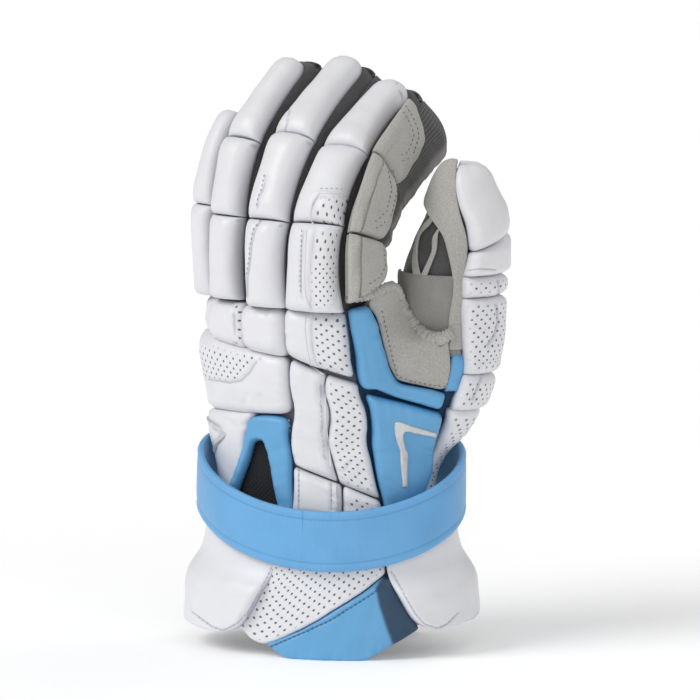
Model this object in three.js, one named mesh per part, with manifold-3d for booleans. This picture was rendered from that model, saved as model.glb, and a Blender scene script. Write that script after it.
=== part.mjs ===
import * as THREE from 'three';
import { mergeVertices } from 'three/addons/utils/BufferGeometryUtils.js';
import Module from 'manifold-3d';

const wasm = await Module();
wasm.setup();

// Left-hand padded lacrosse glove standing on the hem of its cuff, fingers up.
// Millimetres. +Z runs to the fingertips, the back of the hand faces -Y, the thumb is on the +X side.

// Driving sizes
const CLEAR = 1.0;
const GAP = 0.35;
const SHELL = 2.0;
const FLOOR = 7.2;
const STALL_BOTTOM = 190.7;
const HAND_TOP = 190.2;
const HAND_HEM = 27;
const FINGER_ROOT = 150;
const PAD_THICK = 8;
const PERFORATED_THICK = 6.5;
const BLUE_THICK = 8;
const SUEDE_THICK = 2.2;
const TRIM_THICK = 1.5;
const THUMB_PAD_THICK = 10.5;
const FLAP_BASE = -2;
const FLAP_THICK = 4.4;
const TAB_THICK = 6;
const STRAP_BASE = 5;
const STRAP_THICK = 4.5;
const STRAP_HALF = 16;
const SIDE_TURN = THREE.MathUtils.degToRad(38);
const CUFF_TURN = THREE.MathUtils.degToRad(22);
const CUFF_X = -2;
const CUFF_Y = 1.5;

// A table with named columns
const table = (names, rows) => {
  const keys = names.split(' ');
  return rows.map((row) => Object.fromEntries(keys.map((key, i) => [key, row[i] ?? 1])));
};

// Hand sleeve: the taut outline round a turned palm ellipse and a thumb circle, from the hem up to the finger roots
const HAND = table('z palmX palmY palmA palmB turn thumbX thumbY thumbR', [
  [26, -2, 0, 57, 36, 20, 16, 10, 32],
  [40, -2, 0, 57, 36, 20, 16, 10, 32],
  [70, -3, 0, 57, 33, 22, 20, 12, 30],
  [90, -3.5, 0, 56.5, 30, 22, 22, 14, 26],
  [115, -12, -1, 53, 28, 12, 34, 26, 15.5],
  [140, -18, -5, 48, 25, 0, 47, 31, 17],
  [160, -19.5, -7, 50, 24.5, 0, 52, 35, 16],
  [168, -18.5, -6.5, 50.5, 24.5, 0, 36, 18, 16],
  [176, -17, -6, 51, 24.5, 0, 24, 4, 17],
  [190, -15, -6, 51.5, 24.5, 0, 16, -4, 17.5],
  [200, -15, -6, 51.5, 24.5, 0, 12, -6, 17],
]);

// Thumb: centre across and towards the back of the hand, half depth and half width
const THUMB = table('z across out depth width', [
  [80, 25.9, 2.5, 28, 28],
  [90, 25.9, 2.5, 26, 26],
  [115, 42.8, 0.5, 15.5, 15.5],
  [140, 56.1, 4.5, 17, 17],
  [160, 62.5, 4.4, 16, 16],
  [172, 61.0, 4.8, 19.5, 16.5],
  [190, 59.2, 5, 22.3, 16.5],
  [204, 59.2, 5, 22.8, 16.5],
  [222, 62.3, 5, 20.0, 15.5],
  [240, 65.5, 5, 15.5, 14],
  [252, 67.0, 5, 12.0, 11.5],
  [259, 67.5, 5, 7.5, 7.5],
  [262, 67.5, 5, 2.0, 2.0],
]);

// Cuff: half axes of the oval that the flaps hang on
const CUFF = table('z long short', [
  [0, 71, 50],
  [30, 70.5, 49.5],
  [60, 66.5, 47],
  [88, 63.5, 44],
  [120, 62.3, 42],
]);

// Fingers: root, turn round the knuckle arch, drift across in a hundred along, half width, palm and back levels
// of the stall, its swell to the thumb side and its extra depth at the tip, bends in degrees, the joints between
// the pads measured along the finger, and where the stall ends
const FINGERS = table('name rootX rootY turn lean half palm back swell deep bend0 bend1 bend2 joint1 joint2 joint3 tip end', [
  ['index', 12.5, -14, 7, 3, 12.2, -20, 14, 9.5, 6, -4.4, 36.7, 60.7, 41.2, 79.8, 114, 169, 173],
  ['middle', -13.4, -19, 0, -1, 11.6, -18, 14, 1.5, 3, -2.3, 27.7, 54.7, 40.7, 81, 119.4, 176.5, 176],
  ['ring', -42.3, -14.5, -8, -1, 10.3, -16, 12.9, 2, 3, -1.5, 13.6, 45.2, 41.5, 83.1, 117.1, 166.6, 167],
  ['little', -61.8, -5.4, -18, -2, 8.8, -13, 9.2, 0, 0, -5.1, 16.3, 30.9, 41.5, 87.2, 115.6, 134, 133],
]);

// Finger rolls: left and right reach at both ends, level of the underside and height of the crown
const ROLLS = table('finger part from to left0 right0 left1 right1 base crown', [
  ['index', 'base', 'joint1', 'joint2', -16.6, 16, -14.2, 14.2, 14.6, 28],
  ['index', 'middle', 'joint2', 'joint3', -14.2, 14.4, -12.6, 13, 14.6, 28],
  ['index', 'tip', 'joint3', 'tip', -12.6, 13, -10, 9.5, 14.4, 27],
  ['middle', 'base', 'joint1', 'joint2', -11.8, 11.2, -12, 11.8, 14.6, 27.5],
  ['middle', 'middle', 'joint2', 'joint3', -12, 12, -12.3, 12.3, 14.6, 28],
  ['middle', 'tip', 'joint3', 'tip', -12.3, 12.3, -9.3, 9.3, 14.4, 26.5],
  ['ring', 'base', 'joint1', 'joint2', -10.4, 10, -10.6, 10.6, 13.5, 25.5],
  ['ring', 'middle', 'joint2', 'joint3', -10.7, 10.7, -10.8, 10.8, 13.5, 26],
  ['ring', 'tip', 'joint3', 'tip', -10.8, 10.8, -8.3, 8.3, 13.3, 24.5],
  ['little', 'base', 'joint1', 'joint2', -9, 8.6, -8.4, 8.2, 9.6, 19.5],
  ['little', 'tip', 'joint2', 'tip', -8.6, 8.4, -6.8, 6.8, 9.6, 19.5],
]);

// Section of the suede side pads of the index finger: outer and inner line, from the back to the palm
const GUSSET = table('outX outY inX inY', [
  [17.4, 27, 16.6, 24.4],
  [21.5, 22.5, 16.6, 16.2],
  [23.5, 11, 12.2, 10],
  [23.5, 1, 12.2, 1],
  [21.6, -8, 12.2, -7],
  [17, -13.4, 12.4, -11.5],
]);
const GUSSETS = table('part from to scale0 scale1 lift', [
  ['base', 51, 77.4, 1, 1, 0],
  ['middle', 78.2, 113.2, 1, 0.98, 0],
  ['tip', 114, 156, 0.97, 0.88, 0],
]);

// Panels on the hand sleeve: q is the way round from the middle line of the back, each row one rib
// from the left edge to the right edge
const COLUMNS = 'lq lz rq rz share';
const HAND_PANELS = {
  index_knuckle_pad: { thick: 11, rows: [[11.4, 189.6, 40.9, 189.6], [13.5, 176.5, 45.4, 171.3], [16.8, 165.4, 49.1, 155.3]] },
  middle_knuckle_pad: { thick: 11.5, rows: [[-15.2, 189.6, 9.9, 189.6], [-12.6, 176.8, 12.1, 176.3], [-8.5, 166.3, 15.3, 164.4]] },
  ring_knuckle_pad: { thick: 10, rows: [[-42.5, 189.6, -16.6, 189.6], [-41, 177.3, -14, 177.7], [-37.4, 169, -9.9, 166.5]] },
  little_knuckle_pad: { thick: 7, rows: [[-61, 189.6, -44, 189.6], [-60.5, 181, -42.6, 179], [-60.5, 174, -39, 170]] },
  ulnar_back_pad: {
    thick: PAD_THICK,
    rows: [[-60, 171.5, 15.4, 162.8], [-59.5, 157, 15.2, 153.5], [-58, 143, 14.6, 143.8], [-55, 129.2, 14, 134.9]],
  },
  ulnar_wrist_pad: {
    thick: 7,
    rows: [
      [-52, 128, -7.1, 132.4, 1], [-43, 120, -7, 122.2, 0.9], [-35, 108, -6, 109, 0.5], [-34, 97, -9.3, 97.6, 0.3], [-34, 82, -15, 83, 0.3],
    ],
  },
  centre_pad_upper: {
    thick: PAD_THICK,
    rows: [[18.3, 162, 35.2, 155.8], [17.6, 147, 33.4, 145.3], [19.4, 128, 37, 126.3], [25.4, 111, 44.6, 109.7], [28.1, 106.6, 49.2, 99.2]],
  },
  centre_pad_lower: { thick: PAD_THICK, rows: [[26.6, 104.9, 50.7, 96.6], [27.6, 95.9, 51, 89.3], [26.8, 86, 50.6, 83.2], [26, 80.5, 50.3, 79.4]] },
  perforated_pad_upper: {
    thick: PERFORATED_THICK,
    rows: [[36.9, 155.1, 50.1, 150.7], [35, 145.1, 50.8, 142], [38.8, 126.2, 56.2, 125.5], [46.4, 109.5, 64.4, 108.4], [51.4, 98.2, 70.2, 90.7]],
  },
  perforated_pad_lower: { thick: PERFORATED_THICK, rows: [[52.8, 96, 70.1, 88.4], [52.7, 87.2, 70.6, 83.3], [52.1, 80.1, 70.3, 78.8]] },
  thumb_web_pad: {
    thick: BLUE_THICK,
    rows: [
      [43.4, 190.2, 51.4, 192], [45.8, 181, 56.8, 183], [50.7, 164.3, 64.9, 166.2], [53.1, 150.4, 69.1, 155.6],
      [60.2, 148.5, 72.6, 150.8], [70, 144, 81.3, 148.3], [81.2, 140.7, 88.7, 146.6], [93.1, 138.4, 96.3, 144.8],
    ],
  },
  wrist_pad: {
    thick: BLUE_THICK, lift: 0.4,
    rows: [
      [54.1, 145.1, 93, 134.5, 1], [57.6, 131.3, 94.2, 125.3, 1], [66.8, 109.6, 97, 104, 1], [73, 88, 91.7, 89, 0.7], [72.7, 79.3, 90.8, 80.1, 0.5],
    ],
  },
  suede_patch: {
    thick: SUEDE_THICK, lift: 0.6,
    rows: [
      [53.2, 193.2, 60.6, 196], [57.4, 187.9, 66, 190.8], [61.8, 178.5, 73, 181.4], [67.1, 166.1, 79.5, 172.9],
      [70.9, 157, 87, 166.6], [74, 152.7, 96.5, 163.4], [84.9, 149.9, 100.6, 159.5], [97.2, 147.2, 100, 153],
    ],
  },
  web_strip: {
    thick: 2.4, lift: -0.4,
    rows: [[104, 159.4, 106.4, 160], [103.6, 156.6, 105.6, 157.2], [101.8, 151.6, 103.6, 152.4], [98.8, 146.3, 100.6, 146.6]],
  },
  thumb_wrist_pad: {
    thick: PERFORATED_THICK,
    rows: [
      [96.5, 136.6, 128, 136.6, 1], [98, 124.2, 120, 124.2, 1], [100, 112, 114, 112, 0.55], [98.4, 100, 112, 100, 0.3], [95.8, 88.2, 114, 88.2, 0.3],
    ],
  },
  corner_trim: {
    thick: TRIM_THICK, lift: BLUE_THICK + 2,
    rows: [
      [93, 125.3, 92, 127.7], [81.4, 126.8, 80, 130.1], [74.7, 126.5, 68.6, 131.7], [78.7, 115, 74.2, 116.8],
      [82, 102.2, 79.2, 102.5, 0.97], [83.2, 95, 80.9, 95.2, 0.86],
    ],
  },
  chevron_trim: {
    thick: TRIM_THICK, lift: 8.2,
    rows: [[-46.5, 121.6, -43.5, 124.6], [-23.5, 118.3, -18.5, 119.4, 0.97], [-29.5, 112.5, -25, 111.5, 0.8], [-31.5, 108.5, -28, 107.5, 0.66]],
  },
  vent_frame: {
    thick: 5.4, lift: 1.8,
    rows: [
      [-13.7, 83.8, -8.6, 83.5], [-9.2, 92.6, -4.4, 91.9], [-4.4, 107.7, 1.2, 104.6], [-5.3, 121.4, 1.7, 114.3],
      [-4.6, 130, 2.3, 117.8], [12.4, 131, 6.3, 118.2], [17.9, 121.5, 9.1, 114.9], [23.7, 108.3, 14.3, 104],
      [25.6, 88.1, 18.4, 86.9], [24.6, 80, 18, 80.3],
    ],
  },
  vent_mesh: { thick: 1.1, lift: 0, rows: [[-1.6, 120.7, 7.6, 120.8], [-0.4, 112.3, 12.5, 112.2], [-1, 104.2, 17.2, 104], [-6, 89.6, 20.7, 88.5], [-9.5, 84, 20.6, 83]] },
};

// Panels on the thumb: turn in degrees from the nail line, positive towards the back of the hand
const THUMB_PANELS = {
  thumb_cap: {
    thick: THUMB_PAD_THICK,
    rows: [[110, 260, -100, 260], [100, 251, -100, 255], [89, 243, -100, 251], [75, 234, -100, 247], [67, 224, -98, 243], [65.5, 219, -96, 239.5]],
  },
  thumb_pad_middle: { thick: THUMB_PAD_THICK, rows: [[65.5, 218.2, -95, 238.6], [67, 212, -93, 222], [69.5, 206.8, -90, 206.8]] },
  thumb_pad_perforated_1: { thick: 9, rows: [[70, 206, -90, 206], [70, 195.4, -88, 195.4]] },
  thumb_pad_perforated_2: { thick: 9, rows: [[70, 194.6, -86, 194.6], [71, 184, -80, 184], [72, 171, -66, 171], [71, 163, -60, 163], [71, 155.2, -60, 155.2]] },
  thumb_pad_perforated_3: { thick: 8, rows: [[71, 154.4, -60, 154.4], [71, 146, -60, 146], [70, 137.4, -60, 137.4]] },
  thumb_edge_strip: {
    thick: SUEDE_THICK, lift: 0.6,
    rows: [
      [188, 254.5, 117, 255.5], [184, 248, 105, 249], [160, 241, 93.5, 242], [124, 235, 80, 234.5],
      [100, 226.5, 71, 224.5], [86, 216.6, 69.5, 217], [78, 207.5, 73.5, 207],
    ],
  },
  thumb_palm_patch: { thick: 1.3, rows: [[190, 203.5, 76, 203.5], [186, 194, 76, 194], [168, 187, 82, 187], [138, 186, 98, 185.6]] },
  thumb_fork_strip: {
    thick: 1.1,
    rows: [[182, 234, 170, 236], [165, 224, 156, 224], [131, 205, 125, 208], [117, 205, 121, 208], [114, 218, 118, 218], [113, 225, 118, 226]],
  },
};

// Panels on the cuff: t is the way round in degrees from the broad front, b the level above the cuff oval
const CUFF_COLUMNS = 'lq lz rq rz base share';
const CUFF_PANELS = {
  front_flap: {
    thick: FLAP_THICK,
    rows: [
      [-11.6, 64, -34, 24, FLAP_BASE], [-8, 64, -20.2, 14.4, FLAP_BASE], [2, 64, -1.7, 23.6, FLAP_BASE],
      [13, 64, 13, 34.7, FLAP_BASE], [24, 64, 25.8, 44.4, FLAP_BASE, 0.9], [32.8, 64, 33.2, 51.2, FLAP_BASE, 0.7],
    ],
  },
  front_corner_panel: {
    thick: FLAP_THICK,
    rows: [
      [-18.2, 13.2, -15.5, 11, FLAP_BASE], [-1.6, 22.4, -5, FLOOR, FLAP_BASE], [13.2, 33.4, 10, FLOOR, FLAP_BASE],
      [26.3, 43, 24, FLOOR, FLAP_BASE], [35.2, 50, 36, 14.5, FLAP_BASE], [39.4, 49.5, 47.5, 22, FLAP_BASE],
    ],
  },
  ulnar_tab: {
    thick: TAB_THICK, free: true,
    rows: [
      [-98, 80, -14.5, 60, 0.6, 0.25], [-104, 61, -16, 50, 2.6, 0.15], [-110, 46, -19.4, 41, 3, 1],
      [-112, 31, -25, 29.4, 3, 1], [-100, 22.5, -31, 21.3, 3, 1], [-80, 19, -42, 17.2, 3, 1],
    ],
  },
  radial_tab: {
    thick: TAB_THICK, free: true,
    rows: [
      [36.8, 60, 116, 80, 0.6, 0.25], [37.8, 50, 120, 63, 2.6, 0.15], [41.6, 40.1, 122, 48, 3, 1],
      [47, 29.6, 118, 36, 3, 1], [53, 24.5, 104, 29, 3, 1], [62, 22, 84, 24, 3, 1],
    ],
  },
  palm_flap: {
    thick: FLAP_THICK,
    rows: [
      [154, 94, 206, 94, 0, 0.9], [146, 62, 214, 62, -0.6, 0.95], [142, 32, 220, 32, FLAP_BASE],
      [146, 15, 216, 15, FLAP_BASE], [156, FLOOR, 206, FLOOR, FLAP_BASE],
    ],
  },
};

// Crinkled binding: the path round the index base, down the web and up beside the thumb
const BINDING = table('x y z', [
  [28.6, -26.6, 196.4],
  [32.2, -23.2, 197],
  [36.4, -18.6, 198.3],
  [40.4, -12, 200.6],
  [41.6, -3, 202],
  [40.9, 3, 198.4],
  [39.6, 7, 192],
  [42, 10, 184.6],
  [47, 11.5, 178.2],
  [53, 10.5, 175.4],
  [58, 11, 174.2],
  [64, 14.5, 176.6],
  [68.5, 18.5, 184.5],
]);
const BINDING_RADIUS = 2.3;

// Wrist strap: the ring dips at the front and rises at the palm
const STRAP_MIDDLE = 95.5;
const STRAP_DIP = 18;
const STRAP_EXTRA = 8;
const STRAP_LOW = 10;
const STRAP_SECTION = table('out up', [[0, -1], [0.62, -1], [1, -0.68], [1, 0.68], [0.62, 1], [0, 1]]);

const look = (color, roughness) => new THREE.MeshStandardMaterial({ color, roughness, metalness: 0 });
const WHITE = look(0xe9eaec, 0.5);
const BLUE = look(0x6fb1e0, 0.5);
const DEEP_BLUE = look(0x24557c, 0.6);
const SUEDE = look(0xaaa8a3, 0.95);
const MESH = look(0x4d4e50, 0.9);
const BLACK = look(0x121315, 0.9);
const SILVER = look(0xcfccc8, 0.45);

// Smooth reading of every other column of a table at one value, without overshoot
const track = (rows, axis, value) => {
  const last = rows.length - 1;
  if (value <= rows[0][axis]) return rows[0];
  if (value >= rows[last][axis]) return rows[last];
  let i = 0;
  while (rows[i + 1][axis] < value) i += 1;
  const span = rows[i + 1][axis] - rows[i][axis];
  const t = (value - rows[i][axis]) / span;
  const slope = (j, key) => {
    if (j === 0 || j === last) return 0;
    const s0 = (rows[j][key] - rows[j - 1][key]) / (rows[j][axis] - rows[j - 1][axis]);
    const s1 = (rows[j + 1][key] - rows[j][key]) / (rows[j + 1][axis] - rows[j][axis]);
    return s0 * s1 > 0 ? (2 * s0 * s1) / (s0 + s1) : 0;
  };
  const read = {};
  for (const key of Object.keys(rows[0])) {
    const m0 = slope(i, key) * span;
    const m1 = slope(i + 1, key) * span;
    const t2 = t * t;
    const t3 = t2 * t;
    read[key] = (2 * t3 - 3 * t2 + 1) * rows[i][key] + (t3 - 2 * t2 + t) * m0
      + (-2 * t3 + 3 * t2) * rows[i + 1][key] + (t3 - t2) * m1;
  }
  return read;
};

// Outline of the hand at one height: points with their normals, and the way round from the back's middle line
const RING_STEPS = 240;
const rings = new Map();
const handRing = (z) => {
  const key = Math.round(z * 4) / 4;
  if (rings.has(key)) return rings.get(key);
  const r = track(HAND, 'z', key);
  const points = [];
  for (let i = 0; i <= RING_STEPS; i += 1) {
    const turn = -Math.PI + (2 * Math.PI * i) / RING_STEPS;
    const nx = Math.sin(turn);
    const ny = -Math.cos(turn);
    const turned = THREE.MathUtils.degToRad(r.turn);
    const mx = nx * Math.cos(turned) + ny * Math.sin(turned);
    const my = ny * Math.cos(turned) - nx * Math.sin(turned);
    const root = Math.hypot(r.palmA * mx, r.palmB * my);
    const ex = (r.palmA * r.palmA * mx) / root;
    const ey = (r.palmB * r.palmB * my) / root;
    const palm = r.palmX * nx + r.palmY * ny + root;
    const thumb = r.thumbX * nx + r.thumbY * ny + r.thumbR;
    const x = palm >= thumb ? r.palmX + ex * Math.cos(turned) - ey * Math.sin(turned) : r.thumbX + r.thumbR * nx;
    const y = palm >= thumb ? r.palmY + ex * Math.sin(turned) + ey * Math.cos(turned) : r.thumbY + r.thumbR * ny;
    points.push({ x, y, nx, ny, q: 0 });
  }
  for (let i = 1; i <= RING_STEPS; i += 1) {
    points[i].q = points[i - 1].q + Math.hypot(points[i].x - points[i - 1].x, points[i].y - points[i - 1].y);
  }
  const start = points[RING_STEPS / 2].q;
  points.forEach((p) => { p.q -= start; });
  rings.set(key, points);
  return points;
};
const handFlat = (q, z) => {
  const points = handRing(z);
  let lo = 0;
  let hi = points.length - 1;
  while (hi - lo > 1) {
    const mid = (lo + hi) >> 1;
    if (points[mid].q <= q) lo = mid; else hi = mid;
  }
  const t = (q - points[lo].q) / Math.max(1e-9, points[hi].q - points[lo].q);
  return new THREE.Vector3(
    points[lo].x + (points[hi].x - points[lo].x) * t,
    points[lo].y + (points[hi].y - points[lo].y) * t,
    z,
  );
};
const thumbFlat = (q, z) => {
  const r = track(THUMB, 'z', z);
  const turn = THREE.MathUtils.degToRad(q);
  const across = r.across + r.depth * Math.cos(turn);
  const out = r.out + r.width * Math.sin(turn);
  return new THREE.Vector3(
    across * Math.cos(SIDE_TURN) + out * Math.sin(SIDE_TURN),
    across * Math.sin(SIDE_TURN) - out * Math.cos(SIDE_TURN),
    z,
  );
};
const cuffFlat = (q, z) => {
  const r = track(CUFF, 'z', z);
  const turn = THREE.MathUtils.degToRad(q);
  const x = r.long * Math.sin(turn);
  const y = -r.short * Math.cos(turn);
  return new THREE.Vector3(
    CUFF_X + x * Math.cos(CUFF_TURN) - y * Math.sin(CUFF_TURN),
    CUFF_Y + x * Math.sin(CUFF_TURN) + y * Math.cos(CUFF_TURN),
    z,
  );
};

// A place at a height above a surface, along its normal
const place = (flat, sign, q, z, out) => {
  const e = 1;
  const along = flat(q + e, z).sub(flat(q - e, z));
  const up = flat(q, z + e).sub(flat(q, z - e));
  const normal = along.cross(up).normalize().multiplyScalar(sign * out);
  return flat(q, z).add(normal);
};
const CHARTS = {
  hand: (q, z, out) => place(handFlat, 1, q, z, out),
  thumb: (q, z, out) => place(thumbFlat, -1, q, z, out),
  cuff: (q, z, out) => place(cuffFlat, 1, q, z, out),
};

// Finger frame: x across towards the thumb, y towards the back, s along from the root
const BEND_BEFORE = 12;
const BEND_AFTER = 10;
const TIP_BEND = 6;
const fingerLines = new Map();
const fingerLine = (finger) => {
  if (fingerLines.has(finger.name)) return fingerLines.get(finger.name);
  const knots = [
    { s: 0, bend: finger.bend0 },
    { s: finger.joint2 - BEND_BEFORE, bend: finger.bend0 + 2 },
    { s: finger.joint2 + BEND_AFTER, bend: finger.bend1 },
    { s: finger.joint3 - TIP_BEND, bend: finger.bend1 + 1 },
    { s: finger.joint3 + TIP_BEND, bend: finger.bend2 },
    { s: 200, bend: finger.bend2 + 1 },
  ];
  const turn = THREE.MathUtils.degToRad(finger.turn);
  const back = new THREE.Vector3(Math.sin(turn), -Math.cos(turn), 0);
  const up = new THREE.Vector3(0, 0, 1);
  const at = new THREE.Vector3(finger.rootX, finger.rootY, FINGER_ROOT);
  const line = [];
  for (let s = 0; s <= 200; s += 1) {
    let i = 0;
    while (i < knots.length - 2 && knots[i + 1].s < s) i += 1;
    const t = Math.min(1, Math.max(0, (s - knots[i].s) / (knots[i + 1].s - knots[i].s)));
    const bend = THREE.MathUtils.degToRad(knots[i].bend + (knots[i + 1].bend - knots[i].bend) * t);
    const along = up.clone().multiplyScalar(Math.cos(bend)).addScaledVector(back, -Math.sin(bend));
    const out = back.clone().multiplyScalar(Math.cos(bend)).addScaledVector(up, Math.sin(bend));
    line.push({ at: at.clone(), out });
    at.add(along);
  }
  const side = new THREE.Vector3(Math.cos(turn), Math.sin(turn), 0);
  fingerLines.set(finger.name, { line, side });
  return fingerLines.get(finger.name);
};
const onFinger = (finger, x, y, s) => {
  const { line, side } = fingerLine(finger);
  const i = Math.max(0, Math.min(line.length - 2, Math.floor(s)));
  const t = s - i;
  const at = line[i].at.clone().lerp(line[i + 1].at, t);
  const out = line[i].out.clone().lerp(line[i + 1].out, t).normalize();
  const drift = (finger.lean * Math.max(0, s - 40)) / 100;
  return at.addScaledVector(side, x + drift).addScaledVector(out, y);
};
const fingerNamed = (name) => FINGERS.find((finger) => finger.name === name);

// Closed mesh from points and triangles, facing out
const closedMesh = (points, faces) => {
  let volume = 0;
  const cross = new THREE.Vector3();
  for (const [a, b, c] of faces) volume += points[a].dot(cross.crossVectors(points[b], points[c]));
  const flat = [];
  for (const [a, b, c] of faces) {
    const order = volume < 0 ? [a, c, b] : [a, b, c];
    order.forEach((i) => flat.push(i));
  }
  const geometry = new THREE.BufferGeometry();
  geometry.setAttribute('position', new THREE.Float32BufferAttribute(points.flatMap((p) => [p.x, p.y, p.z]), 3));
  geometry.setIndex(flat);
  return geometry;
};

// Slab between an outer and an inner sheet over the same grid
const slab = (outer, inner, across, along) => {
  const points = [];
  const faces = [];
  const wide = across.length;
  const tall = along.length;
  const top = (i, j) => j * wide + i;
  const low = (i, j) => wide * tall + j * wide + i;
  along.forEach((b) => across.forEach((a) => points.push(outer(a, b))));
  along.forEach((b) => across.forEach((a) => points.push(inner(a, b))));
  const quad = (a, b, c, d) => faces.push([a, b, c], [a, c, d]);
  for (let j = 0; j < tall - 1; j += 1) {
    for (let i = 0; i < wide - 1; i += 1) {
      quad(top(i, j), top(i + 1, j), top(i + 1, j + 1), top(i, j + 1));
      quad(low(i, j), low(i, j + 1), low(i + 1, j + 1), low(i + 1, j));
    }
  }
  for (let i = 0; i < wide - 1; i += 1) {
    quad(top(i, 0), low(i, 0), low(i + 1, 0), top(i + 1, 0));
    quad(top(i + 1, tall - 1), low(i + 1, tall - 1), low(i, tall - 1), top(i, tall - 1));
  }
  for (let j = 0; j < tall - 1; j += 1) {
    quad(top(0, j + 1), low(0, j + 1), low(0, j), top(0, j));
    quad(top(wide - 1, j), low(wide - 1, j), low(wide - 1, j + 1), top(wide - 1, j + 1));
  }
  return closedMesh(points, faces);
};

// Closed loft through rings of equally many points
const loft = (levels) => {
  const points = levels.flat();
  const count = levels[0].length;
  const faces = [];
  for (let j = 0; j < levels.length - 1; j += 1) {
    for (let i = 0; i < count; i += 1) {
      const n = (i + 1) % count;
      faces.push([j * count + i, j * count + n, (j + 1) * count + n], [j * count + i, (j + 1) * count + n, (j + 1) * count + i]);
    }
  }
  for (const [j, flip] of [[0, true], [levels.length - 1, false]]) {
    const middle = points.length;
    points.push(levels[j].reduce((sum, p) => sum.add(p), new THREE.Vector3()).divideScalar(count));
    for (let i = 0; i < count; i += 1) {
      const n = (i + 1) % count;
      const [a, b] = flip ? [n, i] : [i, n];
      faces.push([middle, j * count + a, j * count + b]);
    }
  }
  return closedMesh(points, faces);
};

const solid = (geometry) => {
  const bare = geometry.clone();
  bare.deleteAttribute('normal');
  bare.deleteAttribute('uv');
  const merged = mergeVertices(bare, 1e-4);
  return new wasm.Manifold(new wasm.Mesh({
    numProp: 3,
    vertProperties: new Float32Array(merged.attributes.position.array),
    triVerts: new Uint32Array(merged.index.array),
  }));
};
const shape = (body) => {
  const mesh = body.getMesh();
  const geometry = new THREE.BufferGeometry();
  geometry.setAttribute('position', new THREE.BufferAttribute(new Float32Array(mesh.vertProperties), 3));
  geometry.setIndex(new THREE.BufferAttribute(new Uint32Array(mesh.triVerts), 1));
  return geometry;
};
const block = (size, at, turn = 0) => {
  const geometry = new THREE.BoxGeometry(...size);
  geometry.rotateZ(turn);
  geometry.translate(...at);
  return solid(geometry);
};

const group = new THREE.Group();
const add = (name, geometry, material) => {
  const mesh = new THREE.Mesh(geometry, material);
  mesh.name = name;
  group.add(mesh);
};

// Puffed sheet: full height inside, a share of it at the edges
const EDGE_SHARE = 0.55;
const EDGE_NODE = 0.09;
const nodes = (steps) => {
  const list = [0, EDGE_NODE];
  for (let i = 1; i < steps; i += 1) {
    const t = i / steps;
    if (t > EDGE_NODE * 1.4 && t < 1 - EDGE_NODE * 1.4) list.push(t);
  }
  list.push(1 - EDGE_NODE, 1);
  return list;
};
const puff = (t) => Math.sin((Math.PI / 2) * Math.min(1, Math.min(t, 1 - t) / EDGE_NODE));
const ribAt = (rows, b) => {
  const at = b * (rows.length - 1);
  const i = Math.min(rows.length - 2, Math.floor(at));
  const t = at - i;
  const rib = {};
  for (const key of Object.keys(rows[0])) rib[key] = rows[i][key] + (rows[i + 1][key] - rows[i][key]) * t;
  return rib;
};
const even = (steps) => Array.from({ length: steps + 1 }, (_, i) => i / steps);
const THIN = 3;
const panel = (chart, rows, across, along, thick, clear, lift, floor) => {
  const spread = thick < THIN ? even : nodes;
  const at = (a, b, out) => {
    const rib = ribAt(rows, b);
    const point = CHARTS[chart](rib.lq + (rib.rq - rib.lq) * a, rib.lz + (rib.rz - rib.lz) * a, (rib.base ?? 0) + out);
    if (floor) point.z = Math.max(FLOOR, point.z);
    return point;
  };
  const height = (a, b) => thick * (thick < THIN ? 1 : (ribAt(rows, b).share ?? 1))
    * (thick < THIN ? 1 : EDGE_SHARE + (1 - EDGE_SHARE) * puff(a) * puff(b));
  const level = (b) => clear + lift * (ribAt(rows, b).share ?? 1);
  return slab((a, b) => at(a, b, level(b) + height(a, b)), (a, b) => at(a, b, level(b)), spread(across), spread(along));
};

const HAND_LOOKS = {
  thumb_web_pad: BLUE, wrist_pad: BLUE, vent_frame: BLUE, web_strip: BLUE, suede_patch: SUEDE,
  corner_trim: SILVER, chevron_trim: SILVER, vent_mesh: BLACK,
};
const HAND_GRID = {
  ulnar_back_pad: [5, 3], ulnar_wrist_pad: [5, 3], wrist_pad: [4, 4], thumb_wrist_pad: [4, 3], vent_frame: [1, 9],
  thumb_web_pad: [2, 7], suede_patch: [3, 7], corner_trim: [1, 8], chevron_trim: [3, 5], web_strip: [1, 3], vent_mesh: [4, 4],
  centre_pad_upper: [2, 4], centre_pad_lower: [2, 3], perforated_pad_upper: [2, 4], perforated_pad_lower: [2, 2], index_knuckle_pad: [4, 2],
  middle_knuckle_pad: [4, 2], ring_knuckle_pad: [4, 2], little_knuckle_pad: [4, 2],
};
for (const [name, spec] of Object.entries(HAND_PANELS)) {
  const [across, along] = HAND_GRID[name] ?? [4, 3];
  const rows = table(COLUMNS, spec.rows);
  add(name, panel('hand', rows, across, along, spec.thick, CLEAR, spec.lift ?? 0, false), HAND_LOOKS[name] ?? WHITE);
}
const THUMB_LOOKS = { thumb_edge_strip: SUEDE, thumb_palm_patch: SUEDE, thumb_fork_strip: SUEDE };
const THUMB_GRID = { thumb_cap: [6, 4], thumb_edge_strip: [4, 6], thumb_fork_strip: [1, 7], thumb_palm_patch: [6, 2], thumb_pad_perforated_2: [5, 3], thumb_pad_middle: [5, 2], thumb_pad_perforated_1: [5, 2], thumb_pad_perforated_3: [5, 2],
};
for (const [name, spec] of Object.entries(THUMB_PANELS)) {
  const [across, along] = THUMB_GRID[name] ?? [6, 2];
  add(name, panel('thumb', table(COLUMNS, spec.rows), across, along, spec.thick, CLEAR, spec.lift ?? 0, false), THUMB_LOOKS[name] ?? WHITE);
}
const CUFF_LOOKS = { front_corner_panel: BLUE };
const CUFF_GRID = { ulnar_tab: [5, 4], radial_tab: [5, 4], palm_flap: [5, 3], front_flap: [3, 5], front_corner_panel: [3, 5] };
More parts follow.
